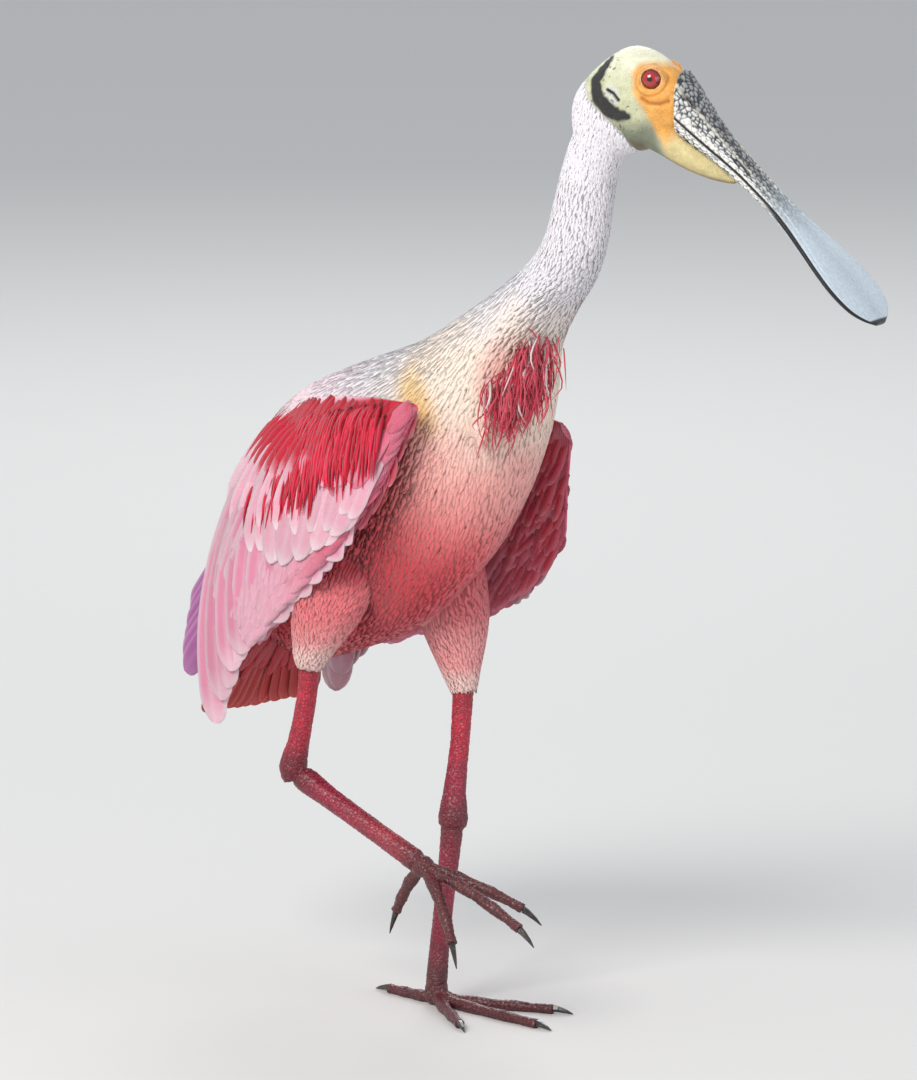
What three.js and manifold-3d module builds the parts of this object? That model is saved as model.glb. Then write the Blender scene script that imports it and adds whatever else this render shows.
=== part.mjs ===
// Roseate spoonbill, life size, standing on its left leg with the right leg lifted.
// Millimetres, +X the way the body faces, +Y the bird's left, +Z up.
// The origin is the middle of the standing foot's sole, on the floor.
import * as THREE from 'three';
import { mergeVertices } from 'three/addons/utils/BufferGeometryUtils.js';
import Module from 'manifold-3d';

const wasm = await Module();
wasm.setup();

// Driving dimensions.
const GAP = 0.3; // clearance between neighbouring pieces
const WELD = 0.003; // corners closer than this are one
const BILL_LENGTH = 178;
const BILL_PITCH = 46.3; // degrees below level
const HEAD_TURN = 19; // degrees toward the left
const HEAD_LENGTH = 69;
const EYE_RADIUS = 6.8;
const IRIS_RADIUS = 5.4;
const LID_RADIUS = 1.6;
const VANE_THICKNESS = 1.3;
const TIP_THICKNESS = 0.7;
const LAYER = 1.2; // how far one vane lies over the next
const TAIL_LENGTH = 96;
const TAIL_FEATHERS = 12;
const TUFT_LOCKS = 14;
const TOE_RADIUS = 3.9;
const CLAW_LENGTH = 12;

const vec = (x, y, z) => new THREE.Vector3(x, y, z);
const radians = THREE.MathUtils.degToRad;
const clamp = THREE.MathUtils.clamp;
const mix = THREE.MathUtils.lerp;

// One seeded stream of numbers, so that the feathers vary the same way each time.
let seed = 20517;
function vary(amount) {
  seed = (seed * 48271) % 2147483647;
  return (seed / 2147483647 - 0.5) * 2 * amount;
}

// Rows of numbers, smoothed by a Catmull-Rom curve through them.
function smooth(rows, steps) {
  const result = [];
  for (let i = 0; i < rows.length - 1; i += 1) {
    const before = rows[Math.max(i - 1, 0)];
    const after = rows[Math.min(i + 2, rows.length - 1)];
    for (let k = 0; k < steps; k += 1) {
      const t = k / steps;
      result.push(rows[i].map((b, j) => {
        const a = before[j];
        const c = rows[i + 1][j];
        const d = after[j];
        return b + 0.5 * t * (c - a + t * (2 * a - 5 * b + 4 * c - d + t * (3 * (b - c) + d - a)));
      }));
    }
  }
  result.push([...rows[rows.length - 1]]);
  return result;
}

// The value at t, 0 to 1, along an even table.
function table(values, t) {
  const x = clamp(t, 0, 1) * (values.length - 1);
  const i = Math.min(Math.floor(x), values.length - 2);
  return mix(values[i], values[i + 1], x - i);
}

// Solids.
function toSolid(geometry, weld = 1e-4) {
  const plain = geometry.clone();
  plain.deleteAttribute('normal');
  plain.deleteAttribute('uv');
  const merged = mergeVertices(plain, weld);
  const mesh = new wasm.Mesh({
    numProp: 3,
    vertProperties: new Float32Array(merged.attributes.position.array),
    triVerts: new Uint32Array(merged.index.array),
  });
  return new wasm.Manifold(mesh);
}

// A closed skin over rings of points. Round rings end in a fan. The ring of a thin piece runs
// along one face and back along the other: it ends in a strip, and both faces split alike.
function ringGeometry(rings, thin) {
  const count = rings[0].length;
  const points = rings.flat();
  const last = (rings.length - 1) * count;
  const faces = [];
  for (let i = 0; i < rings.length - 1; i += 1) {
    for (let j = 0; j < count; j += 1) {
      const a = i * count + j;
      const b = i * count + ((j + 1) % count);
      if (thin && j >= count / 2) {
        faces.push(a, b, b + count, a, b + count, a + count);
      } else {
        faces.push(a, b, a + count, b, b + count, a + count);
      }
    }
  }
  if (thin) {
    for (let j = 0; j < count / 2 - 1; j += 1) {
      const [a, b, c, d] = [j, j + 1, count - 2 - j, count - 1 - j];
      faces.push(b, a, d, b, d, c);
      faces.push(last + a, last + b, last + d, last + b, last + c, last + d);
    }
  } else {
    const middle = (ring) => ring.reduce((sum, p) => sum.add(p), vec(0, 0, 0)).divideScalar(count);
    points.push(middle(rings[0]), middle(rings[rings.length - 1]));
    for (let j = 0; j < count; j += 1) {
      const k = (j + 1) % count;
      faces.push(k, j, points.length - 2);
      faces.push(last + j, last + k, points.length - 1);
    }
  }
  let volume = 0;
  for (let i = 0; i < faces.length; i += 3) {
    const [p, q, r] = [points[faces[i]], points[faces[i + 1]], points[faces[i + 2]]];
    volume += p.dot(vec(0, 0, 0).crossVectors(q, r));
  }
  if (volume < 0) {
    faces.reverse();
  }
  const geometry = new THREE.BufferGeometry().setFromPoints(points);
  geometry.setIndex(faces);
  return geometry;
}

const skin = (rings, thin = false) => toSolid(ringGeometry(rings, thin));
const union = (solids) => wasm.Manifold.union(solids);

function toGeometry(solid) {
  const { vertProperties, triVerts } = solid.getMesh();
  const geometry = new THREE.BufferGeometry();
  geometry.setAttribute('position', new THREE.BufferAttribute(new Float32Array(vertProperties), 3));
  geometry.setIndex(new THREE.BufferAttribute(new Uint32Array(triVerts), 1));
  return geometry;
}

// The largest closed surface of a solid, which drops loose scraps and fills hollows.
function largest(solid) {
  const pick = (whole) => whole.decompose()
    .reduce((best, piece) => (piece.volume() > best.volume() ? piece : best));
  return pick(toSolid(toGeometry(pick(solid)), WELD));
}

// An oval ring: u and v are the half axes, and a power over 2 squares the corners.
function oval(centre, u, v, count, power = 2) {
  const ring = [];
  for (let i = 0; i < count; i += 1) {
    const angle = (2 * Math.PI * i) / count;
    const c = Math.cos(angle);
    const s = Math.sin(angle);
    const a = Math.sign(c) * Math.abs(c) ** (2 / power);
    const b = Math.sign(s) * Math.abs(s) ** (2 / power);
    ring.push(centre.clone().addScaledVector(u, a).addScaledVector(v, b));
  }
  return ring;
}

// A limb of round rings along a smoothed path of rows [x, y, z, radius, depth].
function limb(rows, count, steps, across = vec(0, 1, 0)) {
  const path = smooth(rows, steps);
  return skin(path.map((row, i) => {
    const a = path[Math.max(i - 1, 0)];
    const b = path[Math.min(i + 1, path.length - 1)];
    const along = vec(b[0] - a[0], b[1] - a[1], b[2] - a[2]).normalize();
    const side = across.clone().addScaledVector(along, -across.dot(along)).normalize();
    const front = side.clone().cross(along);
    return oval(vec(row[0], row[1], row[2]), side.multiplyScalar(row[3]), front.multiplyScalar(row[4]), count);
  }));
}

function ball(centre, radius, wide = 20, high = 14) {
  const geometry = new THREE.SphereGeometry(radius, wide, high);
  geometry.translate(centre.x, centre.y, centre.z);
  return toSolid(geometry);
}

// The side of a solid that a plane's normal points to.
const above = (solid, normal, point) => solid.trimByPlane(normal.toArray(), normal.dot(point));

// Neck and torso: rows are [back x, back z, front x, front z, half width, middle y].
const BODY = [
  [124, 531, 153, 522, 15.5, 6],
  [115.5, 514, 146, 504.5, 16, 4],
  [111, 499, 141.5, 490, 16.2, 2.2],
  [106, 480, 139, 473, 17, 1],
  [100.5, 461, 134.6, 450, 18, 0],
  [90, 446, 124, 430, 20, 0],
  [69, 429, 107, 411, 24, 0],
  [35, 407, 91, 388, 32, 0],
  [0, 388, 83, 358, 43, 0],
  [-36, 375, 74, 330, 51, 0],
  [-72, 362, 59, 298, 55, 0],
  [-106, 346, 37, 266, 56, 0],
  [-134, 319, 8, 238, 53, 0],
  [-148, 280, -28, 213, 46, 0],
  [-149, 247, -66, 198, 36, 0],
  [-147, 223, -96, 189, 24, 0],
  [-142, 208, -118, 190, 12, 0],
];

function bodyRing(row, grow) {
  const back = vec(row[0], row[5], row[1]);
  const front = vec(row[2], row[5], row[3]);
  const half = back.clone().sub(front).multiplyScalar(0.5);
  const centre = back.clone().add(front).multiplyScalar(0.5);
  half.setLength(half.length() + grow);
  return oval(centre, half, vec(0, row[4] + grow, 0), 24, 2);
}

const bodyRows = smooth(BODY, 2);
const bodySkin = (grow) => skin(bodyRows.map((row) => bodyRing(row, grow)));
const body = bodySkin(0);
const bodyClear = bodySkin(GAP);

// Head: a heading turned to the left, with rows [distance, top, bottom, half width].
const heading = vec(Math.cos(radians(HEAD_TURN)), Math.sin(radians(HEAD_TURN)), 0);
const leftward = vec(-heading.y, heading.x, 0);
const upward = vec(0, 0, 1);
const napePoint = vec(118, 0, 0);
const HEAD = [
  [0, 536, 520, 6],
  [3, 543, 511, 11],
  [9, 550.5, 505, 14.8],
  [18, 558.5, 504, 17.3],
  [28, 565.5, 506, 18.6],
  [38, 568.5, 508.5, 18.8],
  [50, 565.5, 512, 17.4],
  [60, 559, 516, 15.4],
  [69, 552.5, 519, 14],
  [78, 547, 521, 13],
];
const headPoint = (s, side, z) => napePoint.clone()
  .addScaledVector(heading, s).addScaledVector(leftward, side).setZ(z);

const headSkin = skin(smooth(HEAD, 2).map(([s, top, bottom, wide]) => (
  oval(headPoint(s, 0, (top + bottom) / 2), upward.clone().multiplyScalar((top - bottom) / 2),
    leftward.clone().multiplyScalar(wide), 24, 2.15)
)));

// Bill: its own axes, along, across and out of the culmen.
const pitch = radians(BILL_PITCH);
const culmenRoot = vec(183, 20, 552);
const billAlong = heading.clone().multiplyScalar(Math.cos(pitch)).addScaledVector(upward, -Math.sin(pitch));
const billOut = heading.clone().multiplyScalar(Math.sin(pitch)).addScaledVector(upward, Math.cos(pitch));
const billPoint = (t, side, out) => culmenRoot.clone()
  .addScaledVector(billAlong, t).addScaledVector(leftward, side).addScaledVector(billOut, out);

// Rows are [distance, half width, culmen, mouth line, lower edge].
const BILL = [
  [-16, 14.5, 6, -13, -27],
  [2, 14, 4, -13.5, -24.5],
  [14, 13.4, 2.8, -13, -22.5],
  [28, 12.4, 0.8, -11.3, -19.5],
  [44, 11.5, -0.4, -8.6, -15],
  [64, 11, -0.4, -5, -11],
  [87, 11.6, 0.4, -2.4, -7.5],
  [104, 14.2, 1.7, -1, -5.6],
  [122, 19.3, 2.9, 0.2, -4],
  [138, 23.6, 3.6, 1, -3.2],
  [152, 25, 3.6, 1.3, -2.6],
  [165, 22, 3.2, 1.3, -1.9],
  [173, 14.5, 2.5, 1, -1.2],
  [BILL_LENGTH, 5, 1.8, 0.7, -0.5],
];

// Half a bill, bowed from the mouth line to its outer edge, with a flat inner face.
function mandible(edge, lift) {
  return skin(smooth(BILL, 2).map((row) => {
    const [t, wide] = row;
    const mouth = row[3] + lift;
    const deep = row[edge] - mouth;
    const ring = [];
    for (let i = 0; i <= 8; i += 1) {
      const angle = (Math.PI * i) / 8;
      ring.push(billPoint(t, wide * Math.cos(angle), mouth + deep * (0.3 + 0.7 * Math.sin(angle) ** 0.8)));
    }
    for (let i = 0; i <= 3; i += 1) {
      ring.push(billPoint(t, wide * 0.98 * (i / 1.5 - 1), mouth));
    }
    return ring;
  }));
}

const billSeat = headPoint(HEAD_LENGTH, 0, 540);
const nostrils = [-1, 1].map((side) => {
  const hole = new THREE.SphereGeometry(1, 8, 6);
  hole.scale(5.5, 0.9, 3);
  hole.applyMatrix4(new THREE.Matrix4().makeBasis(billAlong, leftward, billOut));
  const at = billPoint(15, side * 6, 1.6);
  hole.translate(at.x, at.y, at.z);
  return toSolid(hole);
});
let billUpper = above(mandible(2, GAP / 2), heading, billSeat.clone().addScaledVector(heading, GAP));
billUpper = billUpper.subtract(union(nostrils));
const billLower = above(mandible(4, -GAP / 2), heading, billSeat.clone().addScaledVector(heading, GAP));

// Throat pouch: rows are [distance, half width, top, lower edge] on the bill's axes.
const POUCH = [
  [2, 12, -20, -47],
  [12, 11.5, -18, -44],
  [22, 11, -16, -39.5],
  [34, 10, -13, -35],
  [46, 8.5, -10, -29],
  [56, 6.5, -8, -22.5],
  [64, 4, -7, -15.5],
];
const pouchSkin = skin(smooth(POUCH, 2).map(([t, wide, top, low]) => (
  oval(billPoint(t, 0, (top + low) / 2), billOut.clone().multiplyScalar((top - low) / 2),
    leftward.clone().multiplyScalar(wide), 18)
)));

// Eyes, lids and ear openings.
const EYE = { along: 53, side: 9.9, height: 551.5 };
const eyeAxis = (side) => leftward.clone().multiplyScalar(side * 0.95)
  .addScaledVector(heading, 0.25).addScaledVector(upward, 0.12).normalize();
const eyeCentre = (side) => headPoint(EYE.along, side * EYE.side, EYE.height);

function lids(side) {
  const ring = new THREE.TorusGeometry(IRIS_RADIUS + LID_RADIUS * 0.85, LID_RADIUS, 6, 14);
  ring.applyQuaternion(new THREE.Quaternion().setFromUnitVectors(upward, eyeAxis(side)));
  const at = eyeCentre(side).addScaledVector(eyeAxis(side), 3.7);
  ring.translate(at.x, at.y, at.z);
  return toSolid(ring);
}

function earOpening(side) {
  const slit = new THREE.SphereGeometry(1, 8, 6);
  slit.scale(1.3, 4, 5.2);
  slit.rotateY(radians(-28));
  slit.rotateZ(radians(HEAD_TURN));
  const at = headPoint(14, side * 19, 541);
  slit.translate(at.x, at.y, at.z);
  return toSolid(slit);
}

const bothSides = (make) => [-1, 1].map(make);
let headAndNeck = union([headSkin, body, ...bothSides(lids)]);
const sockets = union(bothSides((side) => ball(eyeCentre(side), EYE_RADIUS + GAP, 14, 10)));
headAndNeck = headAndNeck.subtract(union([sockets, ...bothSides(earOpening)]));

// Cuts across the neck, each by a point on it and the way it runs up.
const CUTS = [
  { point: vec(129.5, 3.5, 506), normal: vec(0.29, 0.12, 0.95).normalize() },
  { point: vec(121.5, 1, 473), normal: vec(0.25, 0, 0.97).normalize() },
  { point: vec(109, 0, 440), normal: vec(0.52, 0, 0.85).normalize() },
  { point: vec(84, 0, 415), normal: vec(0.86, 0, 0.51).normalize() },
];
const below = (solid, cut) => above(
  solid, cut.normal.clone().negate(), cut.point.clone().addScaledVector(cut.normal, -GAP),
);
const over = (solid, cut) => above(solid, cut.normal, cut.point);
const seatPlane = { point: billSeat, normal: heading };
const head = below(over(headAndNeck, CUTS[0]), { ...seatPlane, point: billSeat.clone() });
const neckUpper = over(below(body, CUTS[0]), CUTS[1]);
const neckMiddle = over(below(body, CUTS[1]), CUTS[2]);
const neckLower = over(below(body, CUTS[2]), CUTS[3]);
const trunk = below(body, CUTS[3]);

// The pouch hangs between the throat and the lower mandible.
const headClear = union([headSkin, body]);
const grown = (solid, amount) => {
  const moves = [vec(0, 0, -amount), vec(0, 0, 0), heading.clone().multiplyScalar(amount)];
  return union(moves.map((move) => solid.translate(move.toArray())));
};
const billClear = union([mandible(4, -GAP / 2), mandible(2, GAP / 2)]);
const downOut = billOut.clone().multiplyScalar(-GAP * 1.3);
const throatPouch = largest(pouchSkin
  .subtract(grown(headClear, GAP * 1.5))
  .subtract(union([billClear, billClear.translate(downOut.toArray())])));

// The space a solid needs around it, from copies shifted by a little each way.
function spaceAround(solid, amount = GAP * 1.4) {
  const moves = [vec(0, 0, 0)];
  [vec(1, 0, 0), vec(0, 1, 0), vec(0, 0, 1)].forEach((way) => {
    moves.push(way.clone().multiplyScalar(amount), way.clone().multiplyScalar(-amount));
  });
  return union(moves.map((move) => solid.translate(move.toArray())));
}

// A feather vane or a lock laid on a surface: place(u, d, out) gives points in space.
function vane(place, root, tip, width, shape, lift, bend = 0, thick = VANE_THICKNESS) {
  const long = Math.hypot(tip[0] - root[0], tip[1] - root[1]);
  const side = [-(tip[1] - root[1]) / long, (tip[0] - root[0]) / long];
  const last = shape.length - 1;
  return skin(shape.map((part, i) => {
    const t = i / last;
    const half = (width / 2) * part;
    const sweep = bend * Math.sin(Math.PI * t);
    const at = [0, 1].map((k) => mix(root[k], tip[k], t) + side[k] * sweep);
    const out = table(lift, t);
    const deep = mix(thick, TIP_THICKNESS, t ** 2) / 2;
    const point = (k, extra) => place(at[0] + side[0] * half * k, at[1] + side[1] * half * k, out + extra);
    return [point(-1, -0.1), point(0, deep), point(1, -0.1), point(0, -deep)];
  }), true);
}

const FLIGHT = [0.6, 0.95, 1, 0.95, 0.5];
const COVERT = [0.7, 1, 0.95, 0.5];

// Tail: twelve vanes fanned from the rump, on its own axes.
const tailRoot = vec(-118, 0, 236);
const tailAlong = vec(-0.44, 0, -0.9).normalize();
const tailOut = vec(tailAlong.z, 0, -tailAlong.x).normalize();
function tail() {
  const place = (u, d, out) => tailRoot.clone().addScaledVector(tailAlong, u)
    .add(vec(0, d, 0)).addScaledVector(tailOut, out - 0.0012 * d * d);
  const parts = [];
  for (let i = 0; i < TAIL_FEATHERS; i += 1) {
    const k = (i / (TAIL_FEATHERS - 1)) * 2 - 1;
    const raise = 2.4 * (1 - Math.abs(k));
    const reach = TAIL_LENGTH - 5 * Math.abs(k);
    parts.push(vane(place, [0, k * 12], [reach, k * 40], 17, FLIGHT, [0, raise, raise], 0, 1.8));
  }
  const stump = [
    [-118, 0, 240, 24, 11],
    [-130, 0, 216, 24, 8],
    [-142, 0, 190, 23, 4],
    [-151, 0, 172, 18, 1.4],
  ];
  parts.push(limb(stump, 16, 2));
  return largest(union(parts).subtract(bodyClear));
}

const tailSolid = tail();
const wingStop = union([bodyClear, spaceAround(tailSolid)]);

// A folded wing. u runs from the wrist to the tip and d from the front edge toward the back.
const WINGS = {
  r: { side: -1, wrist: vec(49, 0, 359), tip: vec(-150, 0, 150), drop: 17 },
  l: { side: 1, wrist: vec(44, 0, 334), tip: vec(-150, 0, 160), drop: 50 },
};
const WING_TOP = [6, 30, 50, 68, 84, 97, 104, 106, 105, 84, 60, 30, 2];
const WING_FRONT = [0.2, 0.55, 0.95, 1, 1, 0.9, 0.8, 0.6, 0.4, 0.2, 0.05, 0, 0];

function wingFrame(wing) {
  const run = wing.tip.clone().sub(wing.wrist);
  const length = run.length();
  run.normalize();
  const rise = vec(run.z, 0, -run.x);
  if (rise.z < 0) {
    rise.negate();
  }
  const place = (u, d, out) => {
    const near = clamp(d / 88, 0, 1.25);
    const beyond = Math.max(u - 110, 0) / 153;
    const reach = 66 - 40 * near ** 2.2 - 17 * beyond ** 2 - 6 * (Math.max(110 - u, 0) / 110) ** 2;
    const point = wing.wrist.clone().addScaledVector(run, u).addScaledVector(rise, d);
    return point.setY(wing.side * (reach + out));
  };
  const top = (t) => table(WING_TOP, t);
  const front = (t) => -wing.drop * table(WING_FRONT, t);
  return { length, place, top, front };
}

// The wing's flesh and small coverts: a slab bowed over the body, highest along the forearm
// and thin at its edges.
const CORE_HEIGHT = [5, 4.6, 3, 1.6, 0.4, -0.4, -1, -1];
function wingCore({ length, place, top, front }, end) {
  const rings = [];
  for (let i = 0; i <= 10; i += 1) {
    const t = (end * i) / 10;
    const ring = [];
    const inner = [];
    for (let k = 0; k <= 6; k += 1) {
      const across = k / 6;
      const u = t * length;
      const d = mix(front(t) + 2, top(t) - 2, across);
      const full = Math.sin(Math.PI * clamp(across, 0.08, 0.92)) ** 0.6;
      const fade = clamp(Math.sin((Math.PI * (i + 0.35)) / 10.7), 0.2, 1) ** 0.5;
      const fromForearm = 0.61 * u - 0.79 * (d - 6);
      ring.push(place(u, d, table(CORE_HEIGHT, fromForearm / 56) * full * fade));
      inner.unshift(place(u, d, -8 * full * fade - 1.2));
    }
    rings.push([...ring, ...inner]);
  }
  return skin(rings, true);
}

// A tier of vanes, from a root line to a tip line, each line given as [u, d] rows.
function tier(frame, roots, tips, count, width, shape, lift, bend = 0) {
  const rootRows = smooth(roots, 8);
  const tipRows = smooth(tips, 8);
  const at = (rows, t) => [0, 1].map((k) => table(rows.map((row) => row[k]), t));
  const vanes = [];
  for (let i = 0; i < count; i += 1) {
    const t = i / (count - 1);
    const from = at(rootRows, t);
    const to = at(tipRows, t).map((value) => value + vary(1.5));
    const raise = lift.map((value, k) => value + (k > 0 ? (i % 2) * LAYER : 0));
    vanes.push(vane(frame.place, from, to, width * (1 + vary(0.06)), shape, raise, bend));
  }
  return vanes;
}

function wing(key) {
  const frame = wingFrame(WINGS[key]);
  const { front, length } = frame;
  const edge = (u) => front(u / length);
  const parts = [wingCore(frame, 0.74)];
  parts.push(...tier(frame, [[150, 20], [150, 50]], [[297, 45], [274, 67]], 4, 19, FLIGHT, [-4.8, -4.6, -4.6]));
  parts.push(...tier(frame,
    [[60, edge(60) + 18], [90, 22], [118, 50], [138, 78], [150, 90]],
    [[106, edge(106) + 1], [150, edge(150) + 1], [185, edge(185) + 1], [222, 5], [length - 1, -5]],
    9, 27, FLIGHT, [-1.8, -0.2, 0, -0.2], 4));
  parts.push(...tier(frame,
    [[35, edge(35) + 14], [62, 26], [97, 53], [122, 82]],
    [[92, edge(92) + 4], [135, 0], [160, 24], [196, 82]],
    8, 24, COVERT, [0, 2.7, 3.1], 2));
  parts.push(...tier(frame,
    [[14, 4], [42, 28], [77, 54], [112, 86]],
    [[62, -3], [86, 20], [130, 52], [168, 84]],
    7, 26, COVERT, [1.6, 5.4, 5.8], 1));
  return largest(union(parts).subtract(wingStop));
}

// The crimson plumes that hang at the side of the breast.
function breastTuft() {
  const locks = [];
  for (let i = 0; i < TUFT_LOCKS; i += 1) {
    const t = i / (TUFT_LOCKS - 1);
    const from = vec(mix(96, 62, t), mix(-4, -30, t) + vary(5), mix(390, 356, t));
    const drift = vec(4 + vary(3), -8 + vary(5), -27 + vary(4));
    const curl = vec(6 + vary(2), -4 + vary(4), 0);
    const rows = [0, 0.35, 0.7, 1].map((s) => {
      const p = from.clone().addScaledVector(drift, s).addScaledVector(curl, Math.sin(Math.PI * s));
      const wide = 4.6 * (1 - 0.75 * s);
      return [p.x, p.y, p.z, wide, wide * 0.6];
    });
    locks.push(limb(rows, 5, 1));
  }
  return locks;
}

const wingRight = wing('r');
const wingLeft = wing('l');
const torso = largest(union([trunk, ...breastTuft()]).subtract(
  above(body, CUTS[3].normal, CUTS[3].point.clone().addScaledVector(CUTS[3].normal, -GAP)),
));

// Legs. Rows are [x, y, z, radius across, radius fore and aft].
const LEGS = {
  r: {
    thigh: [[-40, -16, 296, 8, 10], [-36, -26, 270, 18, 24], [-44, -42, 236, 21, 23],
      [-52, -48, 206, 12.5, 12], [-53.5, -48, 196, 8, 8]],
    shin: [[-53.5, -48, 206, 6.6, 6.6], [-57, -48.5, 176, 5.6, 6], [-63, -49.5, 150, 6.2, 6.6],
      [-67, -50, 136, 8.2, 8.4], [-66, -49.5, 128, 6.4, 6.4]],
    tarsus: [[-66, -49.8, 133, 6, 6], [-56, -48, 128.5, 7.4, 7.2], [-40, -45.8, 121, 6.2, 6.2],
      [0, -39.5, 103, 5.9, 6], [22, -36, 93, 6.2, 6.6], [29, -35, 90, 6, 6]],
  },
  l: {
    thigh: [[-28, 16, 292, 8, 10], [-25, 25, 264, 19, 25], [-18, 30, 222, 20, 22],
      [-10, 28.5, 190, 11.5, 12], [-7, 28, 178, 7.6, 7.6]],
    shin: [[-7, 28, 188, 6.4, 6.4], [-6, 24, 150, 5.4, 5.8], [-4.5, 18.5, 122, 6.4, 6.8],
      [-3, 16, 107, 8.6, 9], [-2.5, 14.6, 98, 7, 7]],
    tarsus: [[-2.6, 14.8, 101, 6.6, 6.6], [-2, 12, 84, 5.8, 6.2], [-1, 5, 44, 5.3, 5.8],
      [0, 0.8, 16, 6, 6.4], [0, 0, 8, 5.6, 6]],
  },
};

function legs(key) {
  const { thigh, shin, tarsus } = LEGS[key];
  const thighSkin = limb(thigh, 18, 2);
  const shinSkin = limb(shin, 12, 2);
  const tarsusSkin = limb(tarsus, 12, 2);
  return { thighSkin, shinSkin, tarsusSkin };
}

// Toes: name, length, heading in degrees and how many pads.
const TOES = [
  { name: 'inner', length: 62, turn: -30 },
  { name: 'middle', length: 82, turn: 0 },
  { name: 'outer', length: 68, turn: 27 },
  { name: 'hind', length: 36, turn: 180 },
];

const pads = (t, joints) => 1 + 0.12 * Math.cos(2 * Math.PI * joints * t);

// The standing foot, flat on the floor.
function standingFoot(side) {
  const toes = [];
  const claws = [];
  TOES.forEach(({ name, length, turn }) => {
    const angle = radians(turn * side);
    const way = vec(Math.cos(angle), Math.sin(angle), 0);
    const rows = [];
    for (let i = 0; i <= 6; i += 1) {
      const t = i / 6;
      const radius = TOE_RADIUS * (1 - 0.3 * t) * pads(t, 3);
      const height = mix(TOE_RADIUS + 2.4, TOE_RADIUS - 1, Math.min(t * 5, 1)) - 0.25 * t;
      rows.push([way.x * (length + 4) * t, way.y * (length + 4) * t, height, radius, radius]);
    }
    toes.push(limb(rows, 8, 1, vec(-way.y, way.x, 0)));
    claws.push({ name, root: way.clone().multiplyScalar(length + 1).setZ(3.4), way: way.clone(), drop: -0.22 });
  });
  toes.push(ball(vec(0, 0, 6), 6.8, 12, 8));
  toes.push(ball(vec(0, 0.4, 9.6), 6.6, 12, 8));
  return { toes, claws };
}

// The lifted foot hangs with its toes loosely spread.
const LIFTED = {
  inner: [[28, -35, 90], [48, -28, 86], [68, -19, 79], [84, -9, 70.5]],
  middle: [[28, -35, 90], [56, -34, 84], [84, -32, 74], [105, -30.6, 65]],
  outer: [[28, -35, 90], [46, -42, 81], [63, -49, 67], [74.5, -54.5, 55]],
  hind: [[28, -35, 90], [15, -33, 79], [6, -31.5, 68], [0, -30.6, 59]],
};

function liftedFoot() {
  const toes = [];
  const claws = [];
  Object.entries(LIFTED).forEach(([name, path]) => {
    const rows = smooth(path, 2).map((p, i, all) => {
      const t = i / (all.length - 1);
      const radius = TOE_RADIUS * (1.05 - 0.32 * t) * pads(t, 3);
      return [...p, radius, radius];
    });
    const side = name === 'hind' ? vec(0, 1, 0) : vec(-0.3, 1, 0).normalize();
    toes.push(limb(rows, 8, 1, side));
    const [a, b] = [path[2], path[3]].map((p) => vec(...p));
    const way = b.clone().sub(a).normalize();
    claws.push({ name, root: b.addScaledVector(way, -3), way, drop: -0.35 });
  });
  toes.push(ball(vec(28, -35, 90), 6.6, 10, 8));
  return { toes, claws };
}

function clawSolid({ root, way, drop }) {
  const side = vec(-way.y, way.x, 0).normalize();
  const rows = [0, 0.4, 0.75, 1].map((t) => {
    const p = root.clone().addScaledVector(way, (CLAW_LENGTH + 3) * t);
    const radius = 2 * (1 - t) ** 0.7 + 0.3;
    return [p.x, p.y, p.z + drop * (CLAW_LENGTH * t ** 2), radius, radius * 1.1];
  });
  return limb(rows, 6, 1, side);
}

const floorBox = new THREE.BoxGeometry(600, 600, 40);
floorBox.translate(0, 0, -20);
const floor = toSolid(floorBox);

// The group of named pieces.
const group = new THREE.Group();
const MATERIALS = {
  skin: [0xd9893f, 0.55],
  white: [0xf3ebe4, 0.9],
  rose: [0xe0828a, 0.9],
  wing: [0xe46a86, 0.85],
  tail: [0xa8262c, 0.85],
  horn: [0xa9b0ab, 0.5],
  pouch: [0xe6d9b4, 0.6],
  eye: [0x9c1420, 0.12],
  shin: [0xb01f3c, 0.5],
  foot: [0x54262a, 0.45],
  claw: [0x1c1718, 0.35],
};
const materials = Object.fromEntries(Object.entries(MATERIALS).map(([name, [color, roughness]]) => [
  name, new THREE.MeshStandardMaterial({ color, roughness, metalness: 0 }),
]));

function add(name, solid, material) {
  const geometry = toGeometry(solid);
  geometry.computeVertexNormals();
  const mesh = new THREE.Mesh(geometry, materials[material]);
  mesh.name = name;
  group.add(mesh);
}

add('head', largest(head), 'skin');
bothSides((side) => add(side < 0 ? 'eye_r' : 'eye_l', ball(eyeCentre(side), EYE_RADIUS, 14, 10), 'eye'));
add('bill_upper', largest(billUpper), 'horn');
add('bill_lower', largest(billLower), 'horn');
add('throat_pouch', throatPouch, 'pouch');
add('neck_upper', largest(neckUpper), 'white');
add('neck_middle', largest(neckMiddle), 'white');
add('neck_lower', largest(neckLower), 'white');
add('torso', torso, 'rose');
add('wing_r', wingRight, 'wing');
add('wing_l', wingLeft, 'wing');
add('tail', tailSolid, 'tail');

// Each leg's pieces are parted by planes across the joints.
const JOINTS = {
  r: {
    knee: { point: vec(-53.5, -48, 199), normal: vec(0.13, 0.02, 0.99).normalize() },
    ankle: { point: vec(-60.5, -48.8, 131), normal: vec(-0.86, -0.1, 0.5).normalize() },
    foot: { point: vec(23.5, -35.7, 92.2), normal: vec(-0.9, -0.13, 0.42).normalize() },
  },
  l: {
    knee: { point: vec(-7.2, 28.2, 181), normal: vec(-0.05, 0.1, 0.99).normalize() },
    ankle: { point: vec(-2.7, 15.4, 102), normal: vec(0, 0.15, 0.99).normalize() },
    foot: { point: vec(0, 0.6, 13.5), normal: vec(0, 0, 1) },
  },
};
const wingClear = { r: wingRight, l: wingLeft };

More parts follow.
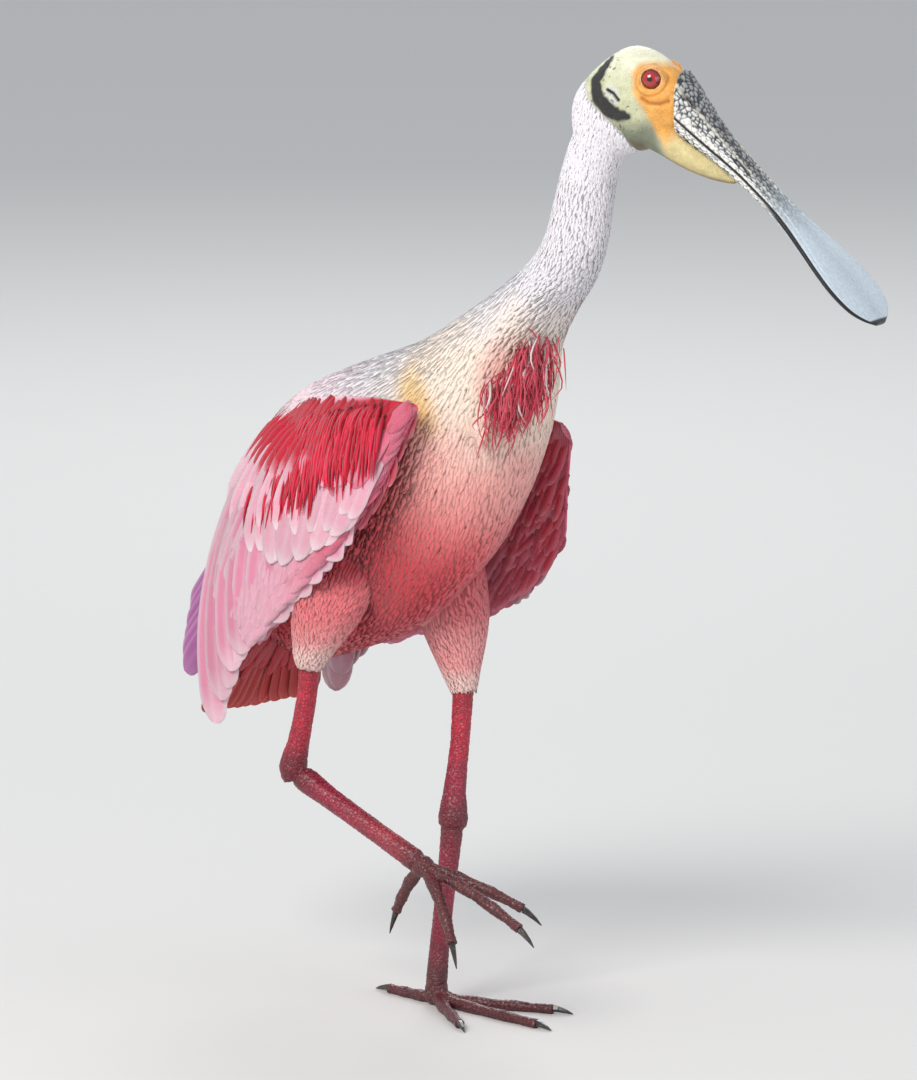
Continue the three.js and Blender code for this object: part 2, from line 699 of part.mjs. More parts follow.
['r', 'l'].forEach((key) => {
  const side = key === 'r' ? -1 : 1;
  const { thighSkin, shinSkin, tarsusSkin } = legs(key);
  const joint = JOINTS[key];
  const wingSpace = spaceAround(wingClear[key]);
  add(`thigh_${key}`, largest(over(thighSkin, joint.knee).subtract(bodyClear).subtract(wingSpace)), 'rose');
  add(`shin_${key}`, largest(over(below(shinSkin, joint.knee), joint.ankle)), 'shin');
  add(`tarsus_${key}`, largest(over(below(tarsusSkin, joint.ankle), joint.foot)), 'shin');
  const { toes, claws } = key === 'l' ? standingFoot(side) : liftedFoot();
  const clawSolids = claws.map(clawSolid);
  const shaft = LEGS[key].tarsus.map(([x, y, z, a, b]) => [x, y, z, a + GAP * 1.3, b + GAP * 1.3]);
  const shaftSpace = over(limb(shaft, 12, 2), {
    ...joint.foot,
    point: joint.foot.point.clone().addScaledVector(joint.foot.normal, -GAP),
  });
  const foot = largest(union(toes).subtract(floor).subtract(shaftSpace));
  clawSolids.forEach((solid, i) => {
    const clear = union([0, 1].map((k) => foot.translate(claws[i].way.clone().multiplyScalar(GAP * 1.4 * k).toArray())));
    add(`claw_${key}_${claws[i].name}`, largest(solid.subtract(clear).subtract(floor)), 'claw');
  });
  add(`foot_${key}`, foot, 'foot');
});

export default group;
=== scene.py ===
# The looks of a life-size roseate spoonbill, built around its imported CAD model.
# Shapes are worked out in millimetres, as in the solids, and made in metres.
import math

import bmesh
import bpy
import numpy as np
from mathutils import Matrix, Vector, noise
from mathutils.bvhtree import BVHTree


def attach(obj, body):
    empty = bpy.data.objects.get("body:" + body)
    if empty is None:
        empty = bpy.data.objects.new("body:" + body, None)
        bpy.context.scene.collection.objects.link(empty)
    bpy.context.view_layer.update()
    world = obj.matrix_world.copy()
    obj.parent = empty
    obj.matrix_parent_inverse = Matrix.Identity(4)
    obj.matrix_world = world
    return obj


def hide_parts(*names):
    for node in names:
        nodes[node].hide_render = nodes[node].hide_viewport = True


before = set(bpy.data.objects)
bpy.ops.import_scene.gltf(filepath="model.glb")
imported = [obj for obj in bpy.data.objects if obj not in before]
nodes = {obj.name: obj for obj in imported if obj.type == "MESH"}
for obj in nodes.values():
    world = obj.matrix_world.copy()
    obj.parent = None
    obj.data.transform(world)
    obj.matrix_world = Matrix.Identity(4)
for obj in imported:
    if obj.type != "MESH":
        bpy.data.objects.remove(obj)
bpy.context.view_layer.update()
rng = np.random.default_rng(20517)
MM = 0.001


# Numbers and colours

def rgb(red, green, blue):
    """A colour given as screen values, in linear light."""
    value = np.array([red, green, blue], float) / 255
    return np.where(value > 0.04045, ((value + 0.055) / 1.055) ** 2.4, value / 12.92)


def unit(vectors):
    length = np.linalg.norm(vectors, axis=-1, keepdims=True)
    return vectors / np.maximum(length, 1e-9)


def smoothstep(low, high, value):
    t = np.clip((value - low) / (high - low), 0, 1)
    return t * t * (3 - 2 * t)


def blend(colour, other, weight):
    weight = np.asarray(weight)[..., None]
    return colour * (1 - weight) + other * weight


def layered(colour, *layers):
    """Lays colours over one another, each as (red, green, blue) with a weight."""
    for tint, weight in layers:
        colour = blend(colour, rgb(*tint), weight)
    return colour


def smooth_rows(rows, steps):
    """A Catmull-Rom curve through rows of numbers."""
    rows = np.array(rows, float)
    padded = np.vstack([rows[:1], rows, rows[-1:]])
    result = []
    for a, b, c, d in zip(padded, padded[1:], padded[2:], padded[3:]):
        for t in np.arange(steps) / steps:
            bend = 2 * a - 5 * b + 4 * c - d + t * (3 * (b - c) + d - a)
            result.append(b + 0.5 * t * (c - a + t * bend))
    result.append(rows[-1])
    return np.array(result)


def table(values, t):
    return np.interp(np.clip(t, 0, 1), np.linspace(0, 1, len(values)), values)


def near_line(points, line):
    """Distance of flat points from a line of corners, and how far along it they are, 0 to 1."""
    line = np.array(line, float)
    best = np.full(len(points), 1e9)
    where = np.zeros(len(points))
    for i, (a, b) in enumerate(zip(line, line[1:])):
        t = np.clip((points - a) @ (b - a) / ((b - a) @ (b - a)), 0, 1)
        distance = np.linalg.norm(points - a - t[:, None] * (b - a), axis=1)
        closer = distance < best
        best[closer] = distance[closer]
        where[closer] = (i + t[closer]) / (len(line) - 1)
    return best, where


# Meshes

def make_mesh(name, points, faces, colour=None, values=None, bake=None):
    """points in millimetres; faces is an even array; colour and values are per point."""
    faces = np.asarray(faces)
    mesh = bpy.data.meshes.new(name)
    mesh.vertices.add(len(points))
    mesh.vertices.foreach_set("co", (np.asarray(points) * MM).astype(np.float32).ravel())
    mesh.loops.add(faces.size)
    mesh.loops.foreach_set("vertex_index", faces.astype(np.int32).ravel())
    mesh.polygons.add(len(faces))
    mesh.polygons.foreach_set("loop_start", np.arange(0, faces.size, faces.shape[1], dtype=np.int32))
    mesh.update(calc_edges=True)
    mesh.polygons.foreach_set("use_smooth", np.ones(len(faces), bool))
    if colour is not None:
        set_colour(mesh, colour)
    for key, value in (values or {}).items():
        mesh.attributes.new(key, "FLOAT", "POINT").data.foreach_set("value", value.astype(np.float32).ravel())
    if bake is not None:
        layer = mesh.uv_layers.new(name="OFBake")
        layer.data.foreach_set("uv", bake[faces.ravel()].astype(np.float32).ravel())
    mesh.validate()
    return mesh


def set_colour(mesh, colour):
    tint = mesh.attributes.new("tint", "FLOAT_COLOR", "POINT")
    rgba = np.ones((len(colour), 4), np.float32)
    rgba[:, :3] = np.clip(colour, 0, 1)
    tint.data.foreach_set("color", rgba.ravel())


def read_vectors(source, key):
    values = np.empty(len(source) * 3, np.float32)
    source.foreach_get(key, values)
    return values.reshape(-1, 3).astype(float)


def mesh_points(mesh):
    return read_vectors(mesh.vertices, "co") / MM


def mesh_normals(mesh):
    return read_vectors(mesh.vertex_normals, "vector")


def show(mesh, material, replaced=()):
    """Puts a mesh in the scene as a piece that rides on the body."""
    piece = bpy.data.objects.new(mesh.name, mesh)
    bpy.context.scene.collection.objects.link(piece)
    mesh.materials.append(material)
    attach(piece, "root")
    if replaced:
        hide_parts(*replaced)


def grid_faces(rows, count, closed=True):
    """Quads between rows of points, each row a ring or an open line."""
    i = np.arange(rows - 1)[:, None] * count
    j = np.arange(count if closed else count - 1)[None, :]
    k = (j + 1) % count
    return np.stack([i + j, i + k, i + count + k, i + count + j], -1).reshape(-1, 4)


def closed_faces(rows, count):
    """The same for rings that run along one face and back along the other, with both ends closed."""
    j = np.arange(count // 2 - 1)
    cap = np.stack([j, j + 1, count - 2 - j, count - 1 - j], -1)
    return np.vstack([grid_faces(rows, count), cap, cap[:, ::-1] + (rows - 1) * count])


# The lower face's height by the upper one's, and the size of a feather's patch on the map.
UNDERSIDE = -0.6
PATCH = 0.003


def lens(across_count):
    """A thin ring: points across the upper face, then back across the lower one."""
    if across_count == 2:
        return np.array([-1, 0, 1, 0]), np.array([0, 1, 0, UNDERSIDE])
    across = np.linspace(-1, 1, across_count)
    height = 0.12 + 0.88 * (1 - np.abs(across) ** 1.5)
    return np.concatenate([across, across[::-1]]), np.concatenate([height, UNDERSIDE * height[::-1]])


def feathers(surface, roots, tips, width, thick, lift, profile, *, colour, across=2, camber=0.1,
             sway=0.0, patch=None):
    """Many feathers or locks on surface(a, b, out). roots and tips are (count, 2) on it, lift is the
    height along each feather, profile its stations and widths, and colour(path, s, across) paints
    it. Returns points, faces, colours, values and the map."""
    stations, profile = profile
    count, steps = len(roots), len(profile)
    s = stations[None, :]
    width, thick, sway = (np.broadcast_to(np.asarray(value, float), (count,))[:, None]
                          for value in (width, thick, sway))
    lift = np.broadcast_to(np.asarray(lift, float), (count, steps))
    a = roots[:, :1] + (tips[:, :1] - roots[:, :1]) * s
    b = roots[:, 1:] + (tips[:, 1:] - roots[:, 1:]) * s
    path = surface(a, b, lift)
    normal = unit(surface(a, b, lift + 1) - path)
    side = unit(np.cross(normal, unit(np.gradient(path, axis=1))))
    path = path + side * (sway * np.sin(np.pi * s))[..., None]
    side = unit(np.cross(normal, unit(np.gradient(path, axis=1))))
    ring_across, ring_height = lens(across)
    size = len(ring_across)
    half = width / 2 * profile[None, :]
    deep = thick * (1 - 0.55 * s)
    wide = half[..., None] * ring_across
    tall = deep[..., None] * ring_height - camber * half[..., None] * ring_across ** 2
    points = path[:, :, None] + side[:, :, None] * wide[..., None] + normal[:, :, None] * tall[..., None]
    faces = closed_faces(steps, size)[None] + (np.arange(count) * steps * size)[:, None, None]
    length = np.linalg.norm(np.diff(path, axis=1), axis=2).sum(1)[:, None, None]
    shape = (count, steps, size)
    values = {
        "along": np.broadcast_to(s[..., None] * length, shape).ravel(),
        "across": np.broadcast_to(wide, shape).ravel(),
        "own": np.broadcast_to(rng.random((count, 1, 1)), shape).ravel(),
    }
    tint = np.array(np.broadcast_to(colour(path, s, ring_across), shape + (3,))).reshape(-1, 3)
    if patch is None:
        patch = spread_patches(count)
    uv = np.empty(shape + (2,))
    uv[..., 0] = patch[:, None, None, 0] + PATCH / 2 * ring_across
    uv[..., 1] = patch[:, None, None, 1] + PATCH * (s[..., None] - 0.5)
    return points.reshape(-1, 3), faces.reshape(-1, 4)[:, ::-1], tint, values, uv.reshape(-1, 2)


def evenly(widths):
    """Stations at even steps, with these widths."""
    return np.linspace(0, 1, len(widths)), np.array(widths)


def blade(steps, round_from, base=0.55):
    """Stations crowded toward a rounded tip, and the width at each."""
    s = 1 - (1 - np.linspace(0, 1, steps)) ** 1.8
    tip = np.clip((s - round_from) / (1 - round_from), 0, 1)
    return s, (base + (1 - base) * smoothstep(0, 0.4, s)) * np.sqrt(np.maximum(1 - tip ** 2, 0.004))


def spread_patches(count):
    """Places on a map for a few large feathers, side by side."""
    side = math.ceil(math.sqrt(count))
    k = np.arange(count)
    return np.stack([(k % side + 0.5) / side, (k // side + 0.5) / side], -1)


def show_feathers(name, parts, material, replaced=()):
    """Shows several results of feathers() as one piece."""
    starts = np.cumsum([0] + [len(part[0]) for part in parts])
    faces = np.vstack([part[1] + start for part, start in zip(parts, starts)])
    points, tint, uv = (np.vstack([part[k] for part in parts]) for k in (0, 2, 4))
    values = {key: np.concatenate([part[3][key] for part in parts]) for key in parts[0][3]}
    show(make_mesh(name, points, faces, tint, values, uv), material, replaced)


# Materials

class Nodes:
    """A short way to write a material's nodes."""

    def __init__(self, name):
        self.material = bpy.data.materials.new(name)
        self.material.use_nodes = True
        self.tree = self.material.node_tree
        self.shader = self.tree.nodes["Principled BSDF"]

    def add(self, kind, settings=None, **inputs):
        node = self.tree.nodes.new("ShaderNode" + kind)
        for key, value in (settings or {}).items():
            setattr(node, key, value)
        for key, value in inputs.items():
            numbered = key[0] == "i" and key[1:].isdigit()
            self.put(node.inputs[int(key[1:]) if numbered else key.replace("_", " ")], value)
        return node

    def put(self, socket, value):
        if isinstance(value, bpy.types.NodeSocket):
            self.tree.links.new(value, socket)
        else:
            socket.default_value = value

    def math(self, operation, a, b=0.0):
        return self.add("Math", {"operation": operation}, i0=a, i1=b).outputs[0]

    def attribute(self, name, output="Fac"):
        return self.add("Attribute", {"attribute_name": name}).outputs[output]

    def place(self, size):
        """Object coordinates with one unit for each size in millimetres."""
        coordinates = self.add("TexCoord").outputs["Object"]
        return self.add("Mapping", Vector=coordinates, Scale=(1000 / size,) * 3).outputs[0]

    def noise(self, size, detail=3.0, rough=0.55):
        return self.add("TexNoise", Vector=self.place(size), Scale=1.0, Detail=detail,
                        Roughness=rough).outputs["Fac"]

    def span(self, value, low, high, from_low=0.0, from_high=1.0):
        return self.add("MapRange", i0=value, i1=from_low, i2=from_high, i3=low, i4=high).outputs[0]

    def tinted(self, value):
        """The mesh's own colour, times a value."""
        return self.add("Mix", {"data_type": "RGBA", "blend_type": "MULTIPLY"},
                        i0=1.0, i6=self.attribute("tint", "Color"), i7=value).outputs[2]

    def mix(self, factor, a, b):
        return self.add("Mix", {"data_type": "RGBA"}, i0=factor, i6=a, i7=b).outputs[2]

    def bump(self, height, distance):
        return self.add("Bump", Height=height, Distance=distance, Strength=1.0).outputs[0]

    def finish(self, colour, roughness, normal=None, **constants):
        self.put(self.shader.inputs["Base Color"], colour)
        self.put(self.shader.inputs["Roughness"], roughness)
        if normal is not None:
            self.put(self.shader.inputs["Normal"], normal)
        for key, value in constants.items():
            self.shader.inputs[key.replace("_", " ")].default_value = value
        return self.material


def feather_material(name, barb, contrast, roughness, sheen, relief=0.22):
    """Barbs slant away from the shaft; the tint comes with the mesh."""
    n = Nodes(name)
    along, across = n.attribute("along"), n.attribute("across")
    slant = n.math("ADD", along, n.math("MULTIPLY", n.math("ABSOLUTE", across), -1.1))
    wobble = n.math("MULTIPLY", n.noise(9.0, 2.0), 9.0)
    phase = n.math("ADD", n.math("MULTIPLY", slant, 6.283 / barb), wobble)
    barbs = n.span(n.math("SINE", phase), 0.0, 1.0, -1.0, 1.0)
    shade = n.math("MULTIPLY", n.span(barbs, 1 - contrast, 1.0), n.span(n.attribute("own"), 0.93, 1.05))
    shade = n.math("MULTIPLY", shade, n.span(n.noise(2.2, 2.0), 0.9, 1.08))
    rough = n.span(n.noise(14.0), roughness - 0.06, roughness + 0.06)
    return n.finish(n.tinted(shade), rough, n.bump(barbs, relief * MM), Sheen_Weight=sheen,
                    Sheen_Roughness=0.4, Specular_IOR_Level=0.3)


def skin_material(name, grain, depth, roughness, coat, freckle=0.0):
    """Living skin: fine folds and pores, uneven tone and gloss."""
    n = Nodes(name)
    cells = n.add("TexVoronoi", {"feature": "DISTANCE_TO_EDGE"}, Vector=n.place(grain), Scale=1.0).outputs[0]
    pores = n.math("MULTIPLY", n.math("MINIMUM", cells, 0.3), 2.2)
    height = n.math("ADD", pores, n.noise(grain * 3.2, 5.0, 0.6))
    tone = n.span(n.noise(grain * 6.0, 4.0), 0.86, 1.1, 0.3, 0.7)
    tone = n.math("MULTIPLY", tone, n.span(cells, 1 - 0.3 * (freckle + 0.4), 1.0, 0.0, 0.22))
    rough = n.span(n.noise(grain * 4.0), roughness - 0.1, roughness + 0.1)
    return n.finish(n.tinted(tone), rough, n.bump(height, depth * MM), Coat_Weight=coat, Coat_Roughness=0.25,
                    Subsurface_Weight=0.08, Subsurface_Radius=(0.004, 0.0015, 0.001), Subsurface_Scale=1.0)


def horn_material():
    n = Nodes("bill_horn")
    fine = n.noise(2.0, 4.0, 0.6)
    height = n.math("ADD", fine, n.noise(0.9, 2.0))
    return n.finish(n.tinted(n.span(fine, 0.84, 1.1, 0.3, 0.7)), n.span(n.noise(6.0), 0.28, 0.5),
                    n.bump(height, 0.00015), Coat_Weight=0.25, Coat_Roughness=0.2)


def claw_material():
    n = Nodes("claw_horn")
    grain = n.noise(2.5, 4.0)
    base = n.mix(n.span(grain, 0.0, 1.0, 0.35, 0.65), (0.012, 0.008, 0.008, 1), (0.05, 0.034, 0.03, 1))
    return n.finish(base, n.span(grain, 0.22, 0.42), n.bump(grain, 0.0002), Coat_Weight=0.3)


def eye_material():
    n = Nodes("eye_gloss")
    tone = n.span(n.noise(0.7, 4.0, 0.7), 0.75, 1.2, 0.25, 0.75)
    return n.finish(n.tinted(tone), n.span(n.noise(3.0), 0.06, 0.12), Coat_Weight=1.0,
                    Coat_Roughness=0.02, Specular_IOR_Level=0.6)


PLUME = feather_material("body_plumage", 1.1, 0.1, 0.8, 0.3, 0.08)
VANE = feather_material("wing_vanes", 1.5, 0.2, 0.62, 0.2)
FACE = skin_material("bare_face_skin", 0.9, 0.35, 0.5, 0.1)
LEG = skin_material("scaled_leg_skin", 2.1, 0.5, 0.42, 0.25, 1.2)
HORN = horn_material()
CLAW = claw_material()
EYE = eye_material()


# The body's shape, as in the solids

# Rows are [back x, back z, front x, front z, half width, middle y].
BODY = [
    [124, 531, 153, 522, 15.5, 6], [115.5, 514, 146, 504.5, 16, 4], [111, 499, 141.5, 490, 16.2, 2.2],
    [106, 480, 139, 473, 17, 1], [100.5, 461, 134.6, 450, 18, 0], [90, 446, 124, 430, 20, 0],
    [69, 429, 107, 411, 24, 0], [35, 407, 91, 388, 32, 0], [0, 388, 83, 358, 43, 0],
    [-36, 375, 74, 330, 51, 0], [-72, 362, 59, 298, 55, 0], [-106, 346, 37, 266, 56, 0],
    [-134, 319, 8, 238, 53, 0], [-148, 280, -28, 213, 46, 0], [-149, 247, -66, 198, 36, 0],
    [-147, 223, -96, 189, 24, 0], [-142, 208, -118, 190, 12, 0],
]
FINE = 8  # Steps between two rows.
body_rows = smooth_rows(BODY, FINE)


def body_surface(angle, row, out):
    """A point on the neck or torso. Row 0 is the nape, 16 the vent; angle 0 is the back."""
    at = np.clip(row, 0, len(BODY) - 1) * FINE
    grid = np.arange(len(body_rows))
    bx, bz, fx, fz, wide, middle = [np.interp(at, grid, body_rows[:, k]) for k in range(6)]
    half = np.stack([(bx - fx) / 2, np.zeros_like(bx), (bz - fz) / 2], -1)
    length = np.linalg.norm(half, axis=-1)
    centre = np.stack([(bx + fx) / 2, middle, (bz + fz) / 2], -1)
    deep = half / length[..., None] * ((length + out) * np.cos(angle))[..., None]
    side = np.stack([np.zeros_like(bx), (wide + out) * np.sin(angle), np.zeros_like(bx)], -1)
    return centre + deep + side


# Rows are [x, y, z, half width, half depth], from the top down.
THIGHS = {
    "r": [[-40, -16, 296, 8, 10], [-36, -26, 270, 18, 24], [-44, -42, 236, 21, 23],
          [-52, -48, 206, 12.5, 12], [-53.5, -48, 196, 8, 8]],
    "l": [[-28, 16, 292, 8, 10], [-25, 25, 264, 19, 25], [-18, 30, 222, 20, 22],
          [-10, 28.5, 190, 11.5, 12], [-7, 28, 178, 7.6, 7.6]],
}


def thigh_surface(key):
    rows = smooth_rows(THIGHS[key], FINE)
    along = unit(np.gradient(rows[:, :3], axis=0))
    side = unit(np.array([0, 1, 0]) - along * along[:, 1:2])
    front = np.cross(side, along)
    grid = np.arange(len(rows))

    def surface(angle, row, out):
        at = np.clip(row, 0, len(THIGHS[key]) - 1) * FINE
        centre, sideways, ahead = (np.stack([np.interp(at, grid, values[:, k]) for k in range(3)], -1)
                                   for values in (rows, side, front))
        across = np.interp(at, grid, rows[:, 3]) + out
        deep = np.interp(at, grid, rows[:, 4]) + out
        return (centre + unit(sideways) * (across * np.sin(angle))[..., None]
                + unit(ahead) * (deep * np.cos(angle))[..., None])

    return surface


# The head looks a little to its left, with the bill down.
TURN = math.radians(19)
PITCH = math.radians(46.3)
HEADING = np.array([math.cos(TURN), math.sin(TURN), 0])
LEFTWARD = np.array([-math.sin(TURN), math.cos(TURN), 0])
UPWARD = np.array([0, 0, 1.0])
NAPE = np.array([118.0, 0, 0])
CULMEN = np.array([183, 20, 552.0])
BILL_ALONG = HEADING * math.cos(PITCH) - UPWARD * math.sin(PITCH)
BILL_OUT = HEADING * math.sin(PITCH) + UPWARD * math.cos(PITCH)


def head_place(s, side, z):
    return NAPE * [1, 1, 0] + HEADING * s + LEFTWARD * side + UPWARD * z


def head_view(points):
    """Distance ahead of the nape, distance to the left, and height."""
    away = points - NAPE
    return away @ HEADING, away @ LEFTWARD, points[..., 2]


# Markings. Corners on the side of the head are (distance ahead of the nape, height).

BARE_EDGE_Z = [500, 513, 522, 530, 538, 548, 558, 566, 575]
BARE_EDGE_S = [44, 40, 36, 27, 16.5, 9.5, 13, 20, 25]
BARE_FROM_Z = 488
BLACK_BAND = [(26, 561), (19.6, 549), (22.6, 540), (29.5, 533.8), (36, 531.4), (41.5, 531)]
FACE_EDGE_Z = [505, 517, 528, 537, 546, 556, 565]
FACE_EDGE_S = [66, 60, 54.5, 49.5, 44.2, 43.6, 47]
CREASE = [(50, 541.5), (54.5, 538.8), (60, 538.6), (65, 540.5)]
EAR_SLIT = [(28.6, 545), (32.5, 543.4), (36, 539.8)]
EYE_RING = (54.2, 551.6)


def bareness(points):
    """1 on the naked head, 0 where feathers grow."""
    s, _, z = head_view(points)
    edge = np.interp(z, BARE_EDGE_Z, BARE_EDGE_S)
    return smoothstep(-0.8, 0.8, s - edge) * (z > BARE_FROM_Z)


def face_lines(points):
    """Distances from the crease, the eye and the ear's slit, and which points are on a cheek."""
    s, side, z = head_view(points)
    flat = np.stack([s, z], -1)
    ring = np.hypot(s - EYE_RING[0], z - EYE_RING[1])
    return near_line(flat, CREASE)[0], ring, near_line(flat, EAR_SLIT)[0], np.abs(side) > 8


def speckle(points, size, seed):
    """A smooth uneven field from 0 to 1."""
    return np.array([noise.noise(Vector(p / size) + Vector((seed, 0, 0))) for p in points]) * 0.5 + 0.5


def head_colour(points):
    s, side, z = head_view(points)
    crease, ring, slit, cheek = face_lines(points)
    uneven = speckle(points, 9.0, 3.0)
    fine = speckle(points, 2.2, 8.0)
    ahead = s - np.interp(z, FACE_EDGE_Z, FACE_EDGE_S)
    crown = np.interp(s, [40, 53, 62, 72], [560, 561.5, 559.5, 555])
    orange = smoothstep(-2.5, 3.0, ahead + 2.5 * (uneven - 0.5)) * smoothstep(2.0, -3.0, z - crown)
    away = points - CULMEN
    along_bill = away @ BILL_ALONG
    hang = away @ BILL_OUT - np.interp(along_bill, [2, 22, 46, 64], [-47, -39.5, -29, -15.5])
    band, along = near_line(np.stack([s, z], -1), BLACK_BAND)
    half = np.interp(along, [0, 0.2, 0.45, 0.8, 1], [2.0, 3.8, 4.3, 3.9, 2.0]) + 1.6 * (fine - 0.5)
    dark = smoothstep(0.7, -0.7, band - half) * smoothstep(2, 5, np.abs(side))
    ear = np.hypot((s - 31.3) / 5.6, (z - 541.8) / 6.2)
    spots = smoothstep(0.70, 0.76, speckle(points, 1.5, 21.0)) * smoothstep(14, 5, band)
    colour = layered(
        np.broadcast_to(rgb(240, 240, 212), points.shape),
        ((206, 208, 166), np.clip(smoothstep(563, 545, z) * 0.8 + 0.35 * (uneven - 0.5), 0, 1)),
        ((104, 112, 96), smoothstep(534, 519, z + 5 * (uneven - 0.5)) * smoothstep(66, 54, s) * 0.85))
    warm = layered(rgb(243, 165, 62), ((250, 192, 108), np.clip(fine * 0.8, 0, 1)))
    return layered(
        blend(colour, warm, orange),
        ((226, 214, 158), smoothstep(524, 512, z - 0.55 * (s - 62)) * smoothstep(58, 66, s) * 0.9),
        ((122, 98, 58), smoothstep(4.0, 0.5, hang) * smoothstep(3, 12, along_bill) * 0.7),
        ((176, 92, 24), smoothstep(1.7, 0.2, crease) * 0.75 * cheek),
        ((196, 112, 44), smoothstep(1.1, 0.1, np.abs(ring - 8.6)) * 0.5 * cheek),
        ((222, 224, 210), smoothstep(1.15, 0.8, ear) * cheek),
        ((40, 40, 38), np.maximum(dark, spots * 0.8)),
        ((18, 16, 16), smoothstep(1.4, 0.6, slit) * cheek),
        ((90, 92, 80), smoothstep(1.6, 0.2, np.abs(band - half)) * 0.25 * (1 - dark)))


def body_colour(points):
    """White neck, cream breast, rose flanks, carmine below and a yellow stain on each shoulder."""
    x, y, z = points[..., 0], points[..., 1], points[..., 2]
    uneven = speckle(points.reshape(-1, 3), 26.0, 5.0).reshape(x.shape)
    height = z + 22 * (uneven - 0.5)
    middle = 338 - 0.12 * (x - 40)
    flank = smoothstep(-60, 10, x) * 0.85
    stain = np.hypot((x - 34) / 19, (z - 361 + 0.75 * (x - 34)) / 17)
    blush = np.linalg.norm((points - np.array([88, -30, 372])) / np.array([22, 22, 34]), axis=-1)
    return layered(
        np.broadcast_to(rgb(238, 233, 238), points.shape),
        ((252, 232, 214), smoothstep(430, 385, height) * smoothstep(-20, 45, x)),
        ((250, 160, 156), smoothstep(middle + 26, middle - 30, height) * flank),
        ((238, 86, 98), smoothstep(middle - 18, middle - 85, height) * flank),
        ((246, 196, 206), smoothstep(10, -90, x) * 0.5),
        ((196, 36, 58), smoothstep(290, 235, height) * smoothstep(30, -60, x) * 0.9),
        ((204, 34, 54), smoothstep(52, 8, x) * smoothstep(352, 305, height) * 0.6),
        ((250, 200, 104), smoothstep(1.25, 0.2, stain) * smoothstep(24, 38, np.abs(y)) * 0.75),
        ((226, 70, 92), smoothstep(1.1, 0.4, blush) * 0.5))


def thigh_colour(points):
    y, z = points[..., 1], points[..., 2]
    low = np.where(y < 0, 204.0, 186.0)
    return layered(
        rgb(232, 118, 124),
        ((244, 158, 158), smoothstep(232, 205, z)),
        ((250, 214, 206), smoothstep(low + 10, low - 2, z) * 0.8),
        ((205, 50, 66), smoothstep(238, 262, z) * 0.8))


# The skin

def fused(name, parts, voxel, passes):
    """One closed surface round the named CAD nodes."""
    points, faces, offset = [], [], 0
    for part in parts:
        mesh = nodes[part].data
        mesh.calc_loop_triangles()
        corners = np.empty(len(mesh.loop_triangles) * 3, np.int32)
        mesh.loop_triangles.foreach_get("vertices", corners)
        points.append(mesh_points(mesh))
        faces.append(corners.reshape(-1, 3) + offset)
        offset += len(mesh.vertices)
    name_of_parts = name + "_parts"
    piece = bpy.data.objects.new(name_of_parts, make_mesh(name_of_parts, np.vstack(points), np.vstack(faces)))
    bpy.context.scene.collection.objects.link(piece)
    weld = piece.modifiers.new("weld", "WELD")
    weld.merge_threshold = 0.00001
    remesh = piece.modifiers.new("remesh", "REMESH")
    remesh.mode = "VOXEL"
    remesh.voxel_size = voxel * MM
    remesh.use_smooth_shade = True
    relax = piece.modifiers.new("relax", "SMOOTH")
    relax.factor = 0.5
    relax.iterations = passes
    bpy.context.view_layer.update()
    mesh = bpy.data.meshes.new_from_object(piece.evaluated_get(bpy.context.evaluated_depsgraph_get()))
    mesh.name = name
    bpy.data.objects.remove(piece)
    return mesh


def refine(mesh, wanted):
    """Splits the edges of a region in two."""
    work = bmesh.new()
    work.from_mesh(mesh)
    edges = [edge for edge in work.edges if all(wanted(v.co) for v in edge.verts)]
    bmesh.ops.subdivide_edges(work, edges=edges, cuts=1, use_grid_fill=True, smooth=0.6)
    bmesh.ops.triangulate(work, faces=[face for face in work.faces if len(face.verts) > 4])
    work.to_mesh(mesh)
    work.free()


def move_points(mesh, points):
    mesh.vertices.foreach_set("co", (points * MM).astype(np.float32).ravel())
    mesh.update()


def build_skin():
    flesh = ["head", "neck_upper", "neck_middle", "neck_lower", "torso", "thigh_r", "thigh_l", "throat_pouch"]
    mesh = fused("skin", flesh, 1.45, 4)
    refine(mesh, lambda p: p[2] > 500 * MM)
    points, normals = mesh_points(mesh), mesh_normals(mesh)
    x, z = points[:, 0], points[:, 2]
    bare = bareness(points)
    # Room for the coat, then the folds of the bare face.
    depth = (1 - bare) * np.interp(z, [190, 210, 400, 450, 520], [0.8, 0.95, 1.0, 0.9, 0.8])
    crease, ring, slit, cheek = face_lines(points)
    folds = ((0.7, crease, 1.3), (0.6, ring - 9.2, 1.2), (-0.5, crease - 3.2, 1.8), (0.9, slit, 1.2))
    for deep, distance, width in folds:
        depth = depth + cheek * bare * deep * np.exp(-(distance / width) ** 2)
    move_points(mesh, points - normals * depth[:, None])
    legs = smoothstep(262, 240, z) * (z < 262) * (np.abs(x + 30) < 45)
    colour = blend(body_colour(points), thigh_colour(points), legs)
    set_colour(mesh, blend(colour, head_colour(points), bare))
    show(mesh, FACE, flesh)
    return BVHTree.FromPolygons([Vector(p) for p in points], [tuple(f.vertices) for f in mesh.polygons])


skin_tree = build_skin()


def sits(points, reach):
    """Which points lie near the skin's outer surface."""
    return np.array([skin_tree.find_nearest(Vector(p), reach)[0] is not None for p in points])


# The coat

# Points round a surface, and the part of a row that measures how far a whole one reaches.
RING = 49
STEP = 0.05


